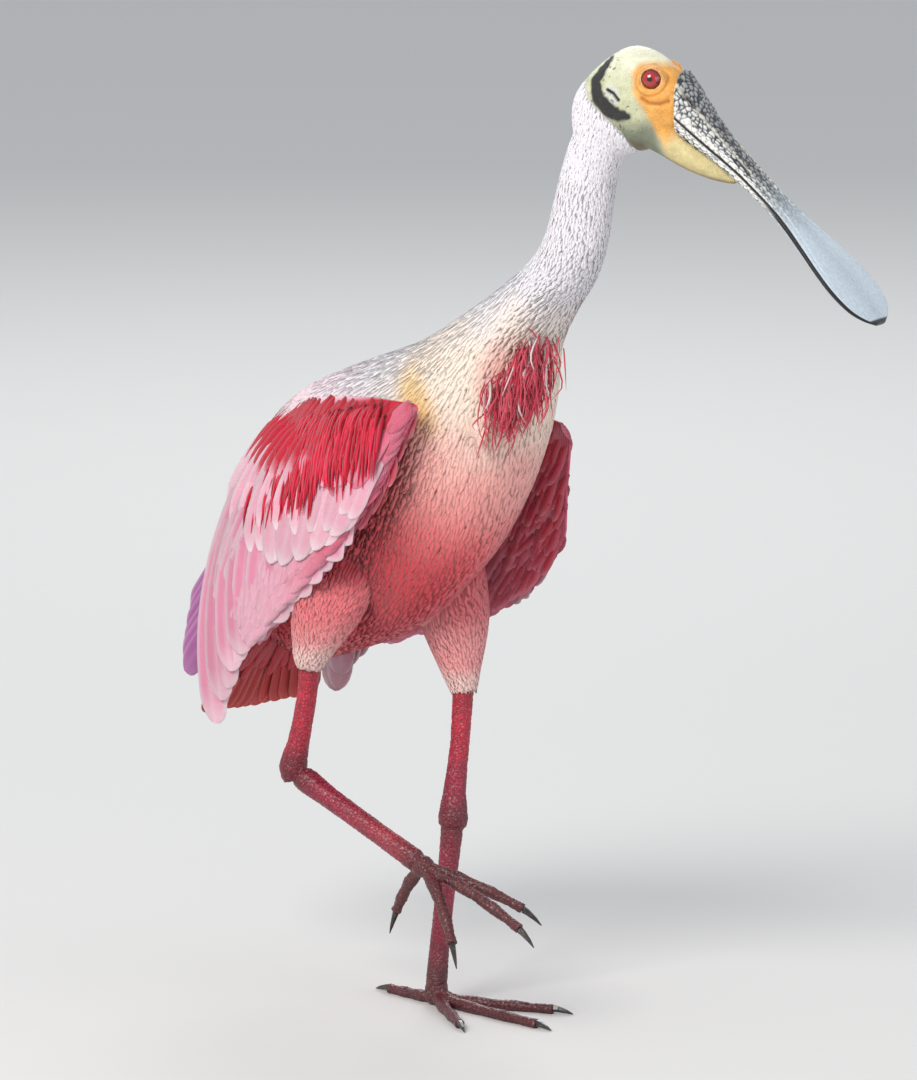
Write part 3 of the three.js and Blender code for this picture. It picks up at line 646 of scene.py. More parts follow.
def rows_on(surface, first, last, spacing, along_spacing):
    """Roots in staggered rows round a surface: (angle, row) pairs."""
    found, row, k = [], first, 0
    ring = np.linspace(0, 2 * np.pi, RING)
    while row < last:
        points, ahead = (surface(ring, np.full(RING, at), np.zeros(RING)) for at in (row, row + STEP))
        arc = np.concatenate([[0], np.cumsum(np.linalg.norm(np.diff(points, axis=0), axis=1))])
        count = max(int(arc[-1] / spacing), 6)
        places = (np.arange(count) + 0.5 * (k % 2) + rng.uniform(-0.3, 0.3, count)) / count * arc[-1]
        angle = np.interp(places % arc[-1], arc, ring)
        advance = along_spacing / (np.linalg.norm(ahead - points, axis=1).mean() / STEP)
        found.append(np.stack([angle, row + rng.uniform(-0.3, 0.3, count) * advance], -1))
        row += advance
        k += 1
    return np.vstack(found)


def pace(surface, roots, turn, advance):
    """Millimetres that a small step over the surface covers."""
    zero = np.zeros(len(roots))
    here = surface(roots[:, 0], roots[:, 1], zero)
    return np.linalg.norm(surface(roots[:, 0] + turn, roots[:, 1] + advance, zero) - here, axis=1)


LOCK = evenly([0.6, 1.0, 0.9, 0.2])


def coat(name, surface, first, last, size, slot, colour):
    """Tufts over one region. size is (spacing, row spacing, length, width, skin depth)."""
    spacing, row_spacing, length, width, depth = size
    roots = rows_on(surface, first, last, spacing, row_spacing)
    spots = surface(roots[:, 0], roots[:, 1], np.zeros(len(roots)))
    roots = roots[(bareness(spots) < 0.5) & sits(spots, 1.6)]
    count = len(roots)
    long = length * rng.uniform(0.8, 1.2, count)
    slant = rng.normal(0, 0.055, count)
    turn = slant * long / np.maximum(pace(surface, roots, 0.02, 0) / 0.02, 3)
    reach = STEP * long / np.maximum(pace(surface, roots, 0, STEP), STEP)
    heights = [rng.uniform(low, high, count) * depth
               for low, high in ((-0.6, -0.45), (-0.3, -0.15), (-0.4, -0.15))]
    lift = np.stack([np.full(count, -depth - 0.5)] + heights, -1)
    low, high = roots.min(0), roots.max(0)

    def paint(path, s, across):
        # Painted shade: each tuft is a little darker toward its root.
        return (colour(path) * (1 - 0.05 * (1 - s))[..., None])[:, :, None]

    made = feathers(surface, roots, roots + np.stack([turn, reach], -1), width * rng.uniform(0.8, 1.2, count),
                    0.1, lift, LOCK, camber=0.06, sway=rng.normal(0, 0.3, count),
                    patch=0.01 + 0.98 * (roots - low) / (high - low), colour=paint)
    show_feathers(name, [made], PLUME)


# Name, first and last row, size as coat() takes it, and slot.
COATS = [
    ("neck", 0.02, 5.3, (1.9, 2.2, 8.5, 3.0, 0.9), "white_plumage"),
    ("breast", 5.2, 7.6, (2.3, 2.8, 13.0, 3.8, 1.0), "white_plumage"),
    ("shoulders", 7.5, 9.3, (2.6, 3.2, 15.0, 4.4, 1.1), "rose_plumage"),
    ("trunk", 9.2, 11.0, (2.7, 3.3, 16.0, 4.6, 1.1), "rose_plumage"),
    ("flanks", 10.9, 12.8, (2.7, 3.3, 16.0, 4.6, 1.1), "rose_plumage"),
    ("belly", 12.7, 15.9, (2.8, 3.4, 16.0, 4.8, 1.1), "rose_plumage"),
]
for name, first, last, size, slot in COATS:
    coat("coat_" + name, body_surface, first, last, size, slot, body_colour)
for key in "rl":
    coat("coat_thigh_" + key, thigh_surface(key), 0.7, 3.96, (1.9, 2.4, 10.5, 3.2, 1.0), "rose_plumage",
         thigh_colour)


def nape_coat():
    """Short feathers on the back of the head and the upper throat, down to the neck's own."""
    mesh = bpy.data.objects["skin"].data
    points, normals = mesh_points(mesh), mesh_normals(mesh)
    region = (bareness(points) < 0.5) & (points[:, 2] > 496)
    points, normals = points[region], normals[region]
    chosen = {}
    for i in rng.permutation(len(points)):
        chosen.setdefault(tuple((points[i] / 1.25).astype(int)), i)
    chosen = list(chosen.values())
    roots, normals = points[chosen], normals[chosen]
    count = len(roots)
    down = np.array([-0.25, -0.05, -1.0]) + rng.normal(0, 0.12, (count, 3))
    ways = unit(down - normals * (down * normals).sum(1, keepdims=True)) * rng.uniform(5, 8, (count, 1))

    def surface(a, b, out):
        k = a.astype(int)
        found = roots[k] + ways[k] * b[..., None]
        result = np.empty(found.shape)
        for where in np.ndindex(found.shape[:2]):
            spot, normal, _, _ = skin_tree.find_nearest(Vector(found[where]))
            result[where] = np.array(spot) + np.array(normal) * out[where]
        return result

    lift = np.array([-1.6, -0.5, -0.25, -0.4])[None, :] + rng.uniform(-0.1, 0.25, (count, 1))
    angle = np.arctan2(roots[:, 1], roots[:, 0] - 128) / (2 * np.pi) + 0.5
    patch = np.stack([angle, (roots[:, 2] - 490) / 90], -1) * 0.98 + 0.01
    made = feathers(surface, *numbered(count), rng.uniform(2.2, 3.2, count), 0.25, lift, LOCK, camber=0.12,
                    patch=patch, colour=lambda path, s, across: body_colour(path)[:, :, None])
    show_feathers("coat_nape", [made], PLUME)


def numbered(count):
    """Roots and tips for a surface whose first value picks the feather and whose second runs along it."""
    ids = np.arange(count) + 0.5
    return np.stack([ids, np.zeros(count)], -1), np.stack([ids, np.ones(count)], -1)


nape_coat()


def breast_plumes():
    """Loose crimson plumes at the side of the breast, with a few white ones among them."""
    parts = []
    white = rgb(250, 226, 226)
    kinds = ((520, 0.9, rgb(214, 34, 66), rgb(240, 104, 122)), (26, 1.3, white, white))
    for count, wide, dark, light in kinds:
        t = rng.uniform(0, 0.75, count)
        start = np.stack([97 - 26 * t, -8 - 18 * t + rng.normal(0, 4, count), 393 - 36 * t], -1)
        start += rng.normal(0, 3.5, (count, 3)) * [1, 1, 1.6]
        drift, curl = (np.stack([rng.normal(mean, spread, count) for mean, spread in axes], -1)
                       for axes in (((3, 3), (-5, 4), (-22, 5)), ((3, 2.5), (-3, 3), (0, 2))))
        lean = rng.uniform(-0.6, 0.6, count)

        def surface(a, s, out):
            k = np.clip(a, 0, count - 1).astype(int)
            point = start[k] + drift[k] * s[..., None] + curl[k] * np.sin(np.pi * s)[..., None]
            facing = unit(np.stack([np.full_like(s, 0.75), -0.6 + lean[k] * s, np.full_like(s, 0.25)], -1))
            return point + facing * (out + 1.5)[..., None]

        mixed = rng.random(count)

        def paint(path, s, across):
            own = blend(dark[None], light[None], mixed)[:, None]
            # Painted shade: each plume is darker toward its root, in among the body's feathers.
            return (own * (0.7 + 0.3 * s)[..., None])[:, :, None]

        parts.append(feathers(surface, *numbered(count), wide * rng.uniform(0.7, 1.3, count), 0.35,
                              [0, 0.4, 0.6, 0.6, 0.0, -0.8], evenly([0.8, 1, 0.95, 0.8, 0.5, 0.12]),
                              sway=rng.normal(0, 1.6, count), colour=paint))
    show_feathers("breast_plumes", parts, PLUME)


breast_plumes()


# Wings

# In millimetres: (x, z) of wrist and tip, and how far the front edge drops below the line between them.
WINGS = {
    "r": {"side": -1, "wrist": (49, 359), "tip": (-150, 150), "drop": 17},
    "l": {"side": 1, "wrist": (44, 334), "tip": (-150, 160), "drop": 50},
}
WING_TOP = [6, 30, 50, 68, 84, 97, 104, 106, 105, 84, 60, 30, 2]
WING_FRONT = [0.2, 0.55, 0.95, 1, 1, 0.9, 0.8, 0.6, 0.4, 0.2, 0.05, 0, 0]
CORE_HEIGHT = [5, 4.6, 3, 1.6, 0.4, -0.4, -1, -1]
# The flesh ends at this share of the wing's length.
CORE_REACH = 0.74
BULGE = 110


class Wing:
    """A folded wing: u runs from the wrist to the tip, d from the front edge toward the back."""

    def __init__(self, side, wrist, tip, drop):
        self.side = side
        self.drop = drop
        self.wrist = np.array([wrist[0], 0, wrist[1]], float)
        run = np.array([tip[0], 0, tip[1]], float) - self.wrist
        self.length = np.linalg.norm(run)
        self.run = run / self.length
        self.rise = np.array([self.run[2], 0, -self.run[0]])
        self.rise *= np.sign(self.rise[2])

    def place(self, u, d, out):
        """The wing stands out most at u = BULGE and draws in toward the back, the tip and the wrist."""
        back = np.clip(d / 88, 0, 1.25)
        beyond, before = np.maximum(u - BULGE, 0) / 153, np.maximum(BULGE - u, 0) / BULGE
        reach = 66 - 40 * back ** 2.2 - 17 * beyond ** 2 - 6 * before ** 2
        point = self.wrist + self.run * u[..., None] + self.rise * d[..., None]
        point[..., 1] = self.side * (reach + out)
        return point

    def front(self, u):
        return -self.drop * table(WING_FRONT, u / self.length)

    def top(self, u):
        return table(WING_TOP, u / self.length)

    def fullness(self, u, d):
        """How thick the wing's flesh is: 1 in the middle, less at its edges and both ends."""
        front, top = self.front(u) + 2, self.top(u) - 2
        across = np.clip((d - front) / np.maximum(top - front, 1), 0.08, 0.92)
        t = np.clip(u / (CORE_REACH * self.length), 0, 1)
        lengthwise = np.clip(np.sin(np.pi * (t * 10 + 0.35) / 10.7), 0.2, 1)
        return np.sin(np.pi * across) ** 0.6 * lengthwise ** 0.5

    def core_height(self, u, d):
        """The outer face of the flesh."""
        return table(CORE_HEIGHT, (0.61 * u - 0.79 * (d - 6)) / 56) * self.fullness(u, d)

    def core_depth(self, u, d):
        """The inner face of the flesh."""
        return -5 * self.fullness(u, d) - 1

    def edge_line(self, rows):
        """A smooth line through (u, d) rows; a 1 after them measures d from the front edge."""
        return smooth_rows([[u, self.front(np.array(float(u))) + d if add else d] for u, d, add in rows], 8)


def along_line(rows, t):
    grid = np.linspace(0, 1, len(rows))
    return np.stack([np.interp(t, grid, rows[:, k]) for k in range(2)], -1)


CARMINE = rgb(206, 16, 50)
MARGIN = rgb(232, 104, 134)
PALE = rgb(244, 176, 196)
EDGE_WHITE = rgb(252, 228, 234)
SECONDARY = rgb(232, 140, 172)
# The primaries' violet is painted shade with a cool cast, laid over their own pink.
SHADED_PRIMARY_VIOLET = rgb(168, 76, 150)


def cover_tint(wing):
    """The colours of the wing's upper cover, laid along larger feathers."""
    def paint(path, s, across):
        away = path - wing.wrist
        own = cover_colour(wing, away @ wing.run + rng.normal(0, 2, (len(path), 1)), away @ wing.rise - 5)
        edge = smoothstep(0.6, 1.0, np.abs(across)) * 0.5
        pale = np.clip(own[..., 1] / np.maximum(own[..., 0], 0.01) * 1.5, 0.05, 1)
        return blend(own[:, :, None], EDGE_WHITE, edge * pale[..., None])
    return paint


def vane_tint(base, edge, tip, deep=0.75):
    """Paler edges and tip, a shaft line, and painted shade darkening each vane toward its root."""
    def paint(path, s, across):
        a = np.abs(across)[None, None, :]
        s = s[..., None]
        own = rng.uniform(0.92, 1.06, (len(path), 1, 1, 1))
        rim = np.clip(smoothstep(0.62, 1.0, a) * 0.75 + smoothstep(0.86, 1.0, s) * tip, 0, 1)
        tint = blend(blend(base, edge, rim), edge * 0.9, smoothstep(0.16, 0.02, a) * 0.35)
        # Painted shade: darker toward the root, where the feathers above lie over it.
        root = deep + (1 - deep) * smoothstep(0.0, 0.7, s)
        return tint * own * root[..., None]
    return paint


FLIGHT = blade(17, 0.9)
COVERT = blade(12, 0.7)
SMALL = blade(7, 0.55)


def tier(wing, roots, tips, count, width, profile, lift, paint, bend, layer, wander=1.6):
    """A row of overlapping vanes; every second one lies a layer higher."""
    t = np.linspace(0, 1, count)
    start = along_line(roots, t)
    end = along_line(tips, t) + rng.normal(0, wander, (count, 2))
    s = profile[0]
    height = np.interp(s, np.linspace(0, 1, len(lift)), lift)[None, :]
    height = height + layer * (np.arange(count) % 2)[:, None] * smoothstep(0, 0.3, s)[None, :]
    height = height + rng.uniform(0, 0.3, (count, 1))
    return feathers(wing.place, start, end, width * rng.uniform(0.94, 1.06, count), 0.5, height, profile,
                    across=7, camber=0.12, sway=bend * wing.side, colour=paint)


def wing_core(wing):
    """The wing's flesh: a slab bowed over the body, thin at its edges."""
    steps, across = 44, 26
    u = np.linspace(0.0, CORE_REACH, steps)[:, None] * np.ones((1, across)) * wing.length
    d = wing.front(u) + 2 + (wing.top(u) - wing.front(u) - 4) * np.linspace(0, 1, across)[None, :]
    outer = wing.place(u, d, wing.core_height(u, d) - 0.8)
    inner = wing.place(u, d, wing.core_depth(u, d))
    points = np.concatenate([outer, inner[:, ::-1]], 1)
    faces = closed_faces(steps, points.shape[1])
    colour = cover_colour(wing, u, d)
    # The inner face takes the outer colours darkened: painted shade.
    both = np.concatenate([colour, colour[:, ::-1] * 0.8], 1).reshape(-1, 3)
    return points.reshape(-1, 3), faces[:, ::-1] if wing.side < 0 else faces, both


def cover_colour(wing, u, d):
    """White at the shoulder, carmine along the forearm, pink on the front edge and below."""
    v = d - wing.front(u)
    low = np.interp(u, [0, 33, 70, 132, 167, 200], [2, 9, 17, 52, 74, 96])
    high = np.interp(u, [0, 20, 60, 110, 150, 180], [10, 26, 54, 86, 108, 120])
    carmine = smoothstep(-4, 5, d - low) * smoothstep(5, -4, d - high)
    colour = blend(PALE, MARGIN, smoothstep(24, 4, v) * smoothstep(190, 90, u))
    colour = blend(colour, CARMINE, carmine)
    return blend(colour, rgb(246, 226, 234), smoothstep(-3, 6, d - high))


def scatter(wing, columns, spacing, inset, jitter):
    """Roots in columns across the wing, from its front edge to its top."""
    found = []
    for u in columns:
        low, high = wing.front(u) + inset, wing.top(u) - inset
        count = max(int((high - low) / spacing), 2)
        d = low + (np.arange(count) + 0.5 + rng.uniform(-0.3, 0.3, count)) / count * (high - low)
        found.append(np.stack([u + rng.uniform(-jitter, jitter, count), d], -1))
    return np.vstack(found)


def rim(s, across, start, sides, tip):
    """How much of the edge's colour shows along the sides and at the tip."""
    from_shaft = smoothstep(start, 1, np.abs(across)) * sides
    return from_shaft[None, None, :] + (smoothstep(0.7, 1, s) * tip)[..., None]


def small_coverts(wing):
    """Rows of small feathers from the front edge and forearm down to the greater coverts."""
    roots = scatter(wing, np.arange(2, 196, 5.2), 4.6, 1, 1.8)
    count = len(roots)
    u, d = roots.T
    long = 17 + 3 * rng.random(count)
    down = np.interp(d - wing.front(u), [0, 20, 60], [0.15, -0.35, -0.55])
    tips = roots + unit(np.stack([np.ones(count), down], -1)) * long[:, None]
    tips[:, 1] = np.maximum(tips[:, 1], wing.front(tips[:, 0]) - 0.5)
    low = wing.core_height(u, d) - 1.2
    high = wing.core_height(tips[:, 0], tips[:, 1])
    s = SMALL[0][None, :]
    arch = np.interp(s, [0, 0.2, 0.4, 0.6, 1], [0, 1.3, 2.0, 2.3, 1.9])
    lift = low[:, None] + (high - low)[:, None] * s + arch + rng.uniform(0, 0.5, (count, 1))

    def paint(path, s, across):
        mid = roots * 0.4 + tips * 0.6
        own = cover_colour(wing, mid[:, 0] + rng.normal(0, 3, count), mid[:, 1] + rng.normal(0, 2.5, count))
        # Painted shade: each covert is darker toward its root, under the feathers above.
        tint = own[:, None, None, :] * (0.84 + 0.16 * s)[..., None, None]
        pale = 0.15 + 0.85 * np.clip(own[:, 1] / np.maximum(own[:, 0], 0.01) * 1.4, 0, 1)
        return blend(tint, EDGE_WHITE, rim(s, across, 0.5, 0.22, 0.14) * pale[:, None, None])

    return feathers(wing.place, roots, tips, 7.4 * rng.uniform(0.85, 1.15, count), 0.4, lift,
                    SMALL, across=3, camber=0.15, colour=paint)


def lining(wing):
    """Rows of small feathers on the inner face."""
    roots = scatter(wing, np.arange(4, 190, 7.0), 6.2, 2, 2.4)
    count = len(roots)
    way = unit(np.stack([np.ones(count), rng.normal(-0.25, 0.12, count)], -1))
    tips = roots + way * rng.uniform(18, 27, (count, 1))
    tips[:, 1] = np.maximum(tips[:, 1], wing.front(tips[:, 0]) - 0.5)
    lift = np.interp(SMALL[0], [0, 0.3, 1], [-0.8, 0.8, 0.9])[None, :] + rng.uniform(0, 0.6, (count, 1))

    def surface(u, d, out):
        return wing.place(u, d, wing.core_depth(u, d) - out)

    def paint(path, s, across):
        deep = smoothstep(40, 130, roots[:, 0] + rng.normal(0, 12, count))
        own = blend(rgb(206, 40, 70), rgb(232, 120, 146), deep)[:, None, None, :]
        # Painted shade: darker toward the root, under the overlapping feathers.
        own = own * (0.8 + 0.2 * s)[..., None, None]
        return blend(own, rgb(246, 176, 190), rim(s, across, 0.4, 0.35, 0.25))

    return feathers(surface, roots, tips, rng.uniform(7, 10, count), 0.4, lift, SMALL, across=3,
                    camber=0.15, colour=paint)


def carmine_plumes(wing):
    """Long hair-like plumes that hang from the forearm, near upright on the bird."""
    count = 620
    t = rng.uniform(0, 1, count)
    depth = rng.uniform(0, 1, count) ** 0.8
    u = 16 + 128 * t
    high = np.interp(u, [0, 20, 60, 110, 150], [8, 22, 49, 80, 100])
    low = np.interp(u, [0, 33, 70, 132, 167], [4, 14, 26, 60, 84])
    d = low + (high - low) * depth
    roots = np.stack([u, d], -1)
    long = rng.uniform(17, 40, count)
    way = unit(np.array([-wing.run[2] + 0.22, -wing.rise[2]]))
    tips = roots + way * long[:, None] + rng.normal(0, 1.6, (count, 2))
    tips[:, 1] = np.maximum(tips[:, 1], wing.front(tips[:, 0]) + 4)
    s = np.linspace(0, 1, 7)[None, :]
    low = wing.core_height(u, d) + 1.5
    high = np.maximum(wing.core_height(tips[:, 0], tips[:, 1]), 1.0)
    lift = low[:, None] + (high - low)[:, None] * s + np.array([0, 2.2, 3.2, 3.9, 4.2, 4.2, 3.8])[None, :]
    lift = lift + rng.uniform(0, 0.8, (count, 1))
    tone = rng.random(count)

    def paint(path, s, across):
        own = blend(rgb(186, 6, 38)[None], rgb(236, 44, 78)[None], tone)[:, None, None]
        # Painted shade: each plume is darker toward its root, among the others.
        return own * (0.8 + 0.25 * s)[..., None, None]

    return feathers(wing.place, roots, tips, rng.uniform(1.8, 3.6, count), 0.5, lift,
                    evenly([0.6, 1, 1, 0.95, 0.8, 0.5, 0.1]), camber=0.2, sway=rng.normal(0, 1.0, count),
                    colour=paint)


def build_wing(key):
    """Each tier: its roots' and tips' lines as edge_line() takes them, then tier()'s other values."""
    wing = Wing(**WINGS[key])
    # The far wing's tints are darkened by this factor: painted shade for the wing on the shaded side.
    shade = 0.86 if key == "l" else 1.0
    points, faces, tint = wing_core(wing)
    count = len(points)
    values = {"along": points[:, 0], "across": np.zeros(count), "own": np.full(count, 0.5)}
    show(make_mesh("wing_skin_" + key, points, faces, tint * shade, values), VANE)
    # The primaries take the shaded violet: painted shade over their own pink.
    primary = vane_tint(SHADED_PRIMARY_VIOLET, rgb(206, 132, 190), 0.3, 0.6)
    secondary = vane_tint(SECONDARY, EDGE_WHITE, 0.6)
    flight = [
        ([(150, 20, 0), (150, 50, 0)], [(301, 46, 0), (277, 70, 0)],
         6, 17, FLIGHT, [-4.8, -4.8, -4.6], primary, 0, 0.7, 1.0),
        ([(60, 18, 1), (90, 22, 0), (118, 50, 0), (138, 78, 0), (150, 90, 0)],
         [(106, 1, 1), (150, 1, 1), (188, 1, 1), (214, 1, 0), (244, -1, 0), (wing.length - 3, -5, 0)],
         20, 24, FLIGHT, [-2.4, -0.6, -0.2, -0.6], secondary, 4, 0.8, 1.3),
        ([(90, 34, 0), (120, 62, 0), (140, 88, 0)], [(200, 30, 0), (228, 26, 0), (222, 50, 0)],
         7, 24, FLIGHT, [-0.6, 0.4, 0.4, 0.0], secondary, 2, 0.6, 2.0),
    ]
    coverts = [
        ([(35, 14, 1), (62, 26, 0), (97, 53, 0), (122, 82, 0)],
         [(92, 4, 1), (135, 0, 0), (160, 24, 0), (196, 82, 0)],
         16, 21, COVERT, [-0.4, 2.2, 2.9, 2.6], vane_tint(PALE, EDGE_WHITE, 0.9), 2, 0.7),
        ([(26, 10, 1), (56, 24, 0), (92, 52, 0), (120, 84, 0)],
         [(80, 5, 1), (116, 4, 0), (146, 32, 0), (186, 84, 0)],
         17, 17, COVERT, [0.4, 3.4, 3.9, 3.5], vane_tint(PALE, EDGE_WHITE, 0.8), 2, 0.5),
        ([(14, 4, 0), (42, 28, 0), (77, 54, 0), (112, 86, 0)],
         [(62, -3, 0), (88, 18, 0), (132, 50, 0), (172, 84, 0)],
         18, 15, COVERT, [1.6, 4.8, 5.2, 4.8], cover_tint(wing), 1, 0.6),
    ]
    flight, coverts = ([tier(wing, wing.edge_line(roots), wing.edge_line(tips), *rest)
                        for roots, tips, *rest in tiers] for tiers in (flight, coverts))
    # Painted shade on the far wing's flight feathers and coverts.
    for part in flight + coverts:
        part[2][:] *= shade
    show_feathers("wing_flight_" + key, flight, VANE, ("wing_" + key,))
    show_feathers("wing_coverts_" + key, coverts + [small_coverts(wing), lining(wing)], VANE)
    show_feathers("wing_plumes_" + key, [carmine_plumes(wing)], PLUME)


build_wing("r")
build_wing("l")


# Tail

TAIL_ROOT = np.array([-118, 0, 236.0])
TAIL_ALONG = unit(np.array([-0.44, 0, -0.9]))
TAIL_OUT = unit(np.array([TAIL_ALONG[2], 0, -TAIL_ALONG[0]]))


def tail_surface(u, d, out):
    point = TAIL_ROOT + TAIL_ALONG * u[..., None] + TAIL_OUT * (out - 0.0012 * d * d)[..., None]
    point[..., 1] += d
    return point


def build_tail():
    count = 12
    k = np.linspace(-1, 1, count)
    s = FLIGHT[0][None, :]
    roots = np.stack([np.zeros(count), k * 12], -1)
    tips = np.stack([96 - 5 * np.abs(k), k * 40], -1)
    raised = (2.4 * (1 - np.abs(k)) + 0.5 * (np.arange(count) % 2))[:, None] * smoothstep(0, 0.5, s)
    # The tail feathers' dark red is painted shade over their own warm colour.
    paint = vane_tint(rgb(182, 40, 44), rgb(214, 88, 82), 0.4, 0.7)
    parts = [feathers(tail_surface, roots, tips, 16.5, 0.7, raised, FLIGHT, across=7, camber=0.08,
                      colour=paint)]
    # Small feathers over the tail's root, above and below.
    for face, reach in ((1, 58), (-1, 66)):
        for row in range(5):
            n = 16 - row
            k = np.linspace(-1, 1, n) + rng.normal(0, 0.03, n)
            start = -22 + row * 11
            roots = np.stack([np.full(n, start), k * (20 - row)], -1)
            tips = np.stack([start + reach * rng.uniform(0.62, 0.8, n), k * (26 + row)], -1)
            arch = np.interp(SMALL[0], [0, 0.2, 0.4, 0.6, 0.8, 1], [-2, 1, 1, 0, -1.4, -2.6])
            lift = face * (6 - row * 1.1 + arch)[None, :] - (0.0 if face > 0 else 2)
            tint = vane_tint(rgb(180, 14, 36), rgb(206, 46, 64), 0.4, 0.7)
            parts.append(feathers(tail_surface, roots, tips, 9, 0.6, lift + rng.uniform(-0.4, 0.4, (n, 1)),
                                  SMALL, across=3, camber=0.15, colour=tint))
    show_feathers("tail_feathers", parts, VANE, ("tail",))


build_tail()


# Bill

# Rows are [distance, half width, culmen, mouth line, lower edge].
BILL = [
    [-16, 14.5, 6, -13, -27], [2, 14, 4, -13.5, -24.5], [14, 13.4, 2.8, -13, -22.5],
    [28, 12.4, 0.8, -11.3, -19.5], [44, 11.5, -0.4, -8.6, -15], [64, 11, -0.4, -5, -11],
    [87, 11.6, 0.4, -2.4, -7.5], [104, 14.2, 1.7, -1, -5.6], [122, 19.3, 2.9, 0.2, -4],
    [138, 23.6, 3.6, 1, -3.2], [152, 25, 3.6, 1.3, -2.6], [165, 22, 3.2, 1.3, -1.9],
    [173, 14.5, 2.5, 1, -1.2], [178, 5, 1.8, 0.7, -0.5],
]


def bill_place(t, side, out):
    return CULMEN + BILL_ALONG * t[..., None] + LEFTWARD * side[..., None] + BILL_OUT * out[..., None]


def build_mandible(name, column, lift, replaced):
    """Half a bill: side walls, an arched outer face with raised cells, and a flat inner face."""
    rows = smooth_rows(BILL, 26)
    rows = rows[rows[:, 0] >= -13]
    arc, wall, inner = 60, 6, 10
    upper = column == 2
    t, wide, mouth = rows[:, :1], rows[:, 1:2], rows[:, 3:4] + lift
    deep = rows[:, column:column + 1] - mouth
    angle = np.concatenate([np.zeros(wall), np.linspace(0, np.pi, arc), np.full(wall, np.pi)])[None, :]
    climb = np.concatenate([np.arange(wall) / wall, np.ones(arc), np.arange(wall)[::-1] / wall])[None, :]
    side = wide * np.cos(angle)
    out = mouth + deep * (0.3 * climb + 0.7 * np.sin(angle) ** 0.8)
    from_edge = np.minimum(angle, np.pi - angle) * wide + 0.3 * np.abs(deep) * climb
    # Raised cells between dark furrows, largest near the mouth line, fading toward the spoon.
    strong = 1 - smoothstep(70, 112, t)
    cell = np.zeros(side.shape)
    for (i, j), edge in np.ndenumerate(from_edge):
        if t[i, 0] < 125:
            flip = math.copysign(edge / 2.9 + 2, side[i, j])
            near = noise.voronoi(Vector((t[i, 0] / 3.4, flip, column * 7.7)))[0]
            cell[i, j] = near[1] - near[0]
    groove = 3.6 + np.interp(t[:, 0], [0, 40, 90, 120, 165], [10.5, 9.4, 8.2, 8.6, 9.0])[:, None]
    in_groove = np.exp(-((from_edge - groove) / 0.9) ** 2) * smoothstep(172, 140, t) * upper
    nostril = np.exp(-((t - 15) / 5.5) ** 4) * np.exp(-((from_edge - groove - 0.6) / 1.1) ** 4) * upper
    rise = strong * (0.75 * smoothstep(0.05, 0.4, cell) - 0.35) - 0.5 * in_groove - 1.2 * nostril
    rise = rise * smoothstep(0, 1.5, from_edge)
    side = side + rise * np.cos(angle) * 0.7
    out = out + rise * np.sin(angle) ** 0.5 * (1 if upper else -1)
    outer = bill_place(t + 0 * side, side, out)
    flat = np.linspace(-0.96, 0.96, inner)[None, :] * wide
    under = bill_place(t + 0 * flat, flat, mouth + 0 * flat)
    points = np.concatenate([outer, under], 1)
    light = smoothstep(0.10, 0.30, cell + 0.15 * smoothstep(7, 2, from_edge))
    above = smoothstep(-1, 1.5, from_edge - groove) * upper
    light = light * (1 - 0.5 * above)
    pale = blend(rgb(206, 207, 204), rgb(238, 236, 230), smoothstep(7, 2, from_edge))
    colour = blend(blend(rgb(40, 42, 50), pale, light), rgb(218, 210, 192), in_groove * 0.8)
    spoon = blend(rgb(200, 212, 221), rgb(172, 186, 197), np.exp(-(side / (0.35 * wide)) ** 2) * 0.5)
    colour = blend(colour, spoon, smoothstep(62, 118, t + 14 * (cell - 0.4)))
    brim = np.minimum(from_edge, (BILL[-1][0] - t) * 0.9)
    colour = blend(colour, rgb(20, 20, 22), smoothstep(3.0, 1.7, brim) * smoothstep(78, 100, t))
    colour = blend(colour, rgb(24, 22, 24), smoothstep(1.0, 0.4, from_edge))
    colour = blend(colour, rgb(16, 14, 14), nostril)
    dark = np.broadcast_to(rgb(40, 38, 40), (len(rows), inner, 3))
    tint = np.concatenate([colour, dark], 1).reshape(-1, 3)
    size = points.shape[1]
    faces = [tuple(face) for face in grid_faces(len(rows), size).tolist()]
    faces.append(tuple(range(size)))
    faces.append(tuple((len(rows) - 1) * size + k for k in range(size))[::-1])
    mesh = bpy.data.meshes.new(name)
    mesh.from_pydata((points.reshape(-1, 3) * MM).tolist(), [], faces)
    mesh.polygons.foreach_set("use_smooth", np.ones(len(mesh.polygons), bool))
    set_colour(mesh, tint)
    cut_behind(mesh, head_place(69.4, 0, 540), HEADING)
    face_outward(mesh)
    show(mesh, HORN, replaced)


def cut_behind(mesh, point, normal):
    """Keeps the side of a closed mesh that the normal points to, and closes the cut."""
    work = bmesh.new()
    work.from_mesh(mesh)
    everything = work.verts[:] + work.edges[:] + work.faces[:]
    cut = bmesh.ops.bisect_plane(work, geom=everything, plane_co=Vector(point * MM), plane_no=Vector(normal),
                                 dist=1e-7, clear_inner=True)
    edges = [edge for edge in cut["geom_cut"] if isinstance(edge, bmesh.types.BMEdge)]
    bmesh.ops.contextual_create(work, geom=edges)
    work.to_mesh(mesh)
    work.free()


def face_outward(mesh):
    """Turns a closed mesh's faces outward."""
    points = mesh_points(mesh)
    volume = 0.0
    for face in mesh.polygons:
        a, b, c = (points[v] for v in face.vertices[:3])
        volume += a @ np.cross(b, c)
    if volume < 0:
        mesh.flip_normals()


build_mandible("bill_upper_mandible", 2, 0.15, ("bill_upper",))
build_mandible("bill_lower_mandible", 4, -0.15, ("bill_lower",))


# Eyes

EYE_PLACE = (53, 9.9, 551.5)
AROUND = 56


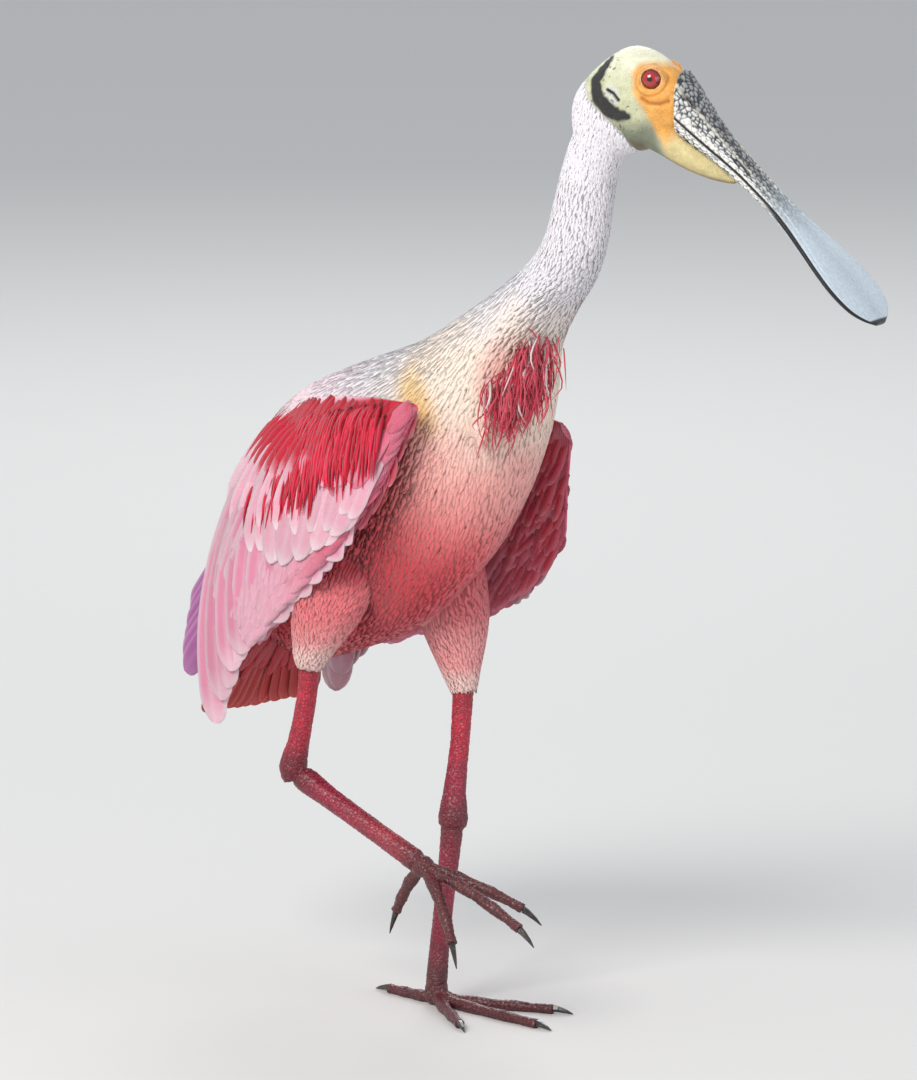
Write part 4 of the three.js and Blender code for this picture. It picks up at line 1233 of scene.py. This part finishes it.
def build_eyeball(key, centre, axis, across, rise):
    polar = np.concatenate([np.linspace(0, 0.95, 40), np.linspace(1.0, np.pi, 20)])
    around = np.linspace(0, 2 * np.pi, AROUND, endpoint=False)
    radius = 6.8 + 0.5 * np.exp(-(polar / 0.62) ** 4)
    wobble = 0.06 * np.sin(7 * around) + 0.04 * np.sin(13 * around)
    rays = 0.5 * np.abs(np.sin(around * 17))
    points, tints = [], []
    for r, distance in zip(np.sin(polar) * radius, np.cos(polar) * radius):
        points.append(centre + axis * distance + np.outer(np.cos(around) * r, across)
                      + np.outer(np.sin(around) * r, rise))
        reach = r + wobble
        tints.append(layered(
            rgb(158, 2, 10)[None],
            ((104, 0, 6), smoothstep(3.0, 5.2, reach)),
            ((198, 18, 18), rays * smoothstep(1.4, 2.2, reach) * smoothstep(4.6, 3, reach)),
            ((8, 6, 8), smoothstep(1.75, 1.35, reach)),
            ((40, 8, 8), smoothstep(5.1, 5.6, reach) if distance > 0 else np.ones(AROUND))))
    faces = grid_faces(len(polar), AROUND)[:, ::-1]
    mesh = make_mesh("eyeball_" + key, np.vstack(points), faces, np.vstack(tints))
    face_outward(mesh)
    show(mesh, EYE, ("eye_" + key,))


def build_lids(key, centre, axis, across, rise):
    """Rings of soft folds round the eye."""
    rings, count = 26, 96
    turn = np.linspace(0, 2 * np.pi, count, endpoint=False)[None, :]
    fold = np.linspace(0, 2 * np.pi, rings, endpoint=False)[:, None]
    wide = 6.75 + 0.12 * np.sin(2 * turn)
    thick = 1.5 + 0.12 * np.sin(3 * fold + 2 * turn) + 0.1 * np.sin(9 * turn + fold)
    reach = wide + thick * np.cos(fold)
    height = 3.3 + thick * 0.9 * np.sin(fold) - 0.05 * (reach - 5.4) ** 2
    points = (centre + axis * height[..., None] + across * (reach * np.cos(turn))[..., None]
              + rise * (reach * 0.97 * np.sin(turn))[..., None]).reshape(-1, 3)
    tint = layered(rgb(228, 140, 62),
                   ((252, 206, 150), 0.5 + 0.5 * np.sin(4 * fold + 0.4 * np.sin(5 * turn))),
                   ((120, 40, 20), smoothstep(5.9, 5.3, reach)))
    mesh = make_mesh("lids_" + key, points, grid_faces(rings + 1, count) % len(points), tint.reshape(-1, 3))
    face_outward(mesh)
    show(mesh, FACE)


for key, side in (("r", -1), ("l", 1)):
    ahead, out, height = EYE_PLACE
    axis = unit(LEFTWARD * side * 0.95 + HEADING * 0.25 + UPWARD * 0.12)
    across = unit(np.cross(axis, UPWARD))
    eye = (key, head_place(ahead, side * out, height), axis, across, np.cross(across, axis))
    build_eyeball(*eye)
    build_lids(*eye)


# Legs

ANKLES = {"r": (-64, -49, 133), "l": (-3, 15.5, 104)}


def leg_colour(points, key):
    """Crimson above, darker below, with a dusky ankle and foot."""
    x, z = points[:, 0], points[:, 2]
    ankle = np.linalg.norm(points - np.array(ANKLES[key]), axis=1)
    colour = layered(rgb(206, 36, 64), ((170, 34, 66), smoothstep(160, 120, z)))
    if key == "r":
        toe = np.maximum(smoothstep(8, 34, x) * smoothstep(120, 104, z), smoothstep(92, 84, z))
        colour = layered(colour, ((178, 66, 74), smoothstep(-45, 5, x) * 0.6 * (z < 132)))
    else:
        toe = smoothstep(46, 16, z)
    colour = layered(colour, ((120, 34, 44), smoothstep(20, 9, ankle) * 0.75), ((96, 42, 44), toe * 0.9))
    return blend(colour, colour * 0.72, np.clip((speckle(points, 14.0, 2.0) - 0.4) * 1.6, 0, 1))


def build_leg(key):
    parts = ["shin_" + key, "tarsus_" + key, "foot_" + key]
    mesh = fused("leg_" + key, parts, 0.75, 5)
    points, normals = mesh_points(mesh), mesh_normals(mesh)
    nearest = np.array([noise.voronoi(Vector(p / (3.0, 2.4, 3.0)))[0] for p in points])
    raised = smoothstep(0.02, 0.3, nearest[:, 1] - nearest[:, 0])
    points = points + normals * (0.32 * raised - 0.1)[:, None]
    points[:, 2] = np.maximum(points[:, 2], 0)
    move_points(mesh, points)
    # Painted shade: the grooves between the raised scales are darkened and their tops lightened.
    set_colour(mesh, leg_colour(points, key) * (0.72 + 0.32 * raised)[:, None])
    show(mesh, LEG, parts)


build_leg("r")
build_leg("l")
for name, node in nodes.items():
    if name.startswith("claw"):
        node.data.materials.clear()
        node.data.materials.append(CLAW)
        node.data.polygons.foreach_set("use_smooth", np.ones(len(node.data.polygons), bool))


# Floor, lights and camera

FLOOR_HALF = 4000


def build_stage():
    corners = np.array([[-1, -1, 0], [1, -1, 0], [1, 1, 0], [-1, 1, 0]]) * FLOOR_HALF
    mesh = make_mesh("floor", corners, np.array([[0, 1, 2, 3]]))
    n = Nodes("floor_matte")
    tone = n.span(n.noise(600.0), 0.6, 0.64)
    mesh.materials.append(n.finish(n.mix(tone, (0.5, 0.5, 0.5, 1), (0.72, 0.71, 0.69, 1)), 0.85))
    floor = bpy.data.objects.new("floor", mesh)
    bpy.context.scene.collection.objects.link(floor)
    world = bpy.data.worlds.new("studio")
    bpy.context.scene.world = world
    world.use_nodes = True
    background = world.node_tree.nodes["Background"]
    background.inputs["Color"].default_value = (0.86, 0.9, 0.95, 1)
    background.inputs["Strength"].default_value = 0.7


def area_light(name, place, aim, size, power, colour):
    light = bpy.data.lights.new(name, "AREA")
    light.shape = "DISK"
    light.size = size
    light.energy = power
    light.color = colour
    lamp = bpy.data.objects.new(name, light)
    bpy.context.scene.collection.objects.link(lamp)
    lamp.location = place
    lamp.rotation_euler = (Vector(aim) - Vector(place)).to_track_quat("-Z", "Y").to_euler()


def build_camera():
    """Ten degrees above the floor, off the bird's right front, as the photo was taken."""
    camera = bpy.data.cameras.new("camera")
    camera.sensor_fit = "VERTICAL"
    camera.sensor_height = 36
    camera.lens = 348
    camera.clip_start = 0.1
    camera.clip_end = 40
    view = bpy.data.objects.new("camera", camera)
    right, up = Vector((0.669131, 0.743145, 0)), Vector((-0.129046, 0.116193, 0.984808))
    back = Vector((0.731855, -0.658965, 0.173648))
    turn = Matrix((right, up, back)).transposed().to_4x4()
    view.matrix_world = Matrix.Translation((4.36537, -3.91319, 1.30451)) @ turn
    bpy.context.scene.collection.objects.link(view)
    bpy.context.scene.camera = view


build_stage()
area_light("key", (0.5, -2.5, 2.4), (0.0, 0.0, 0.33), 1.6, 84, (1.0, 0.97, 0.93))
area_light("fill", (2.6, 0.6, 1.0), (0.0, 0.0, 0.3), 2.0, 12, (0.92, 0.96, 1.0))
area_light("rim", (-1.8, 1.6, 1.8), (0.0, 0.0, 0.35), 1.4, 22, (1.0, 1.0, 1.0))
build_camera()
bpy.context.scene.view_settings.view_transform = "Standard"

bpy.context.view_layer.update()
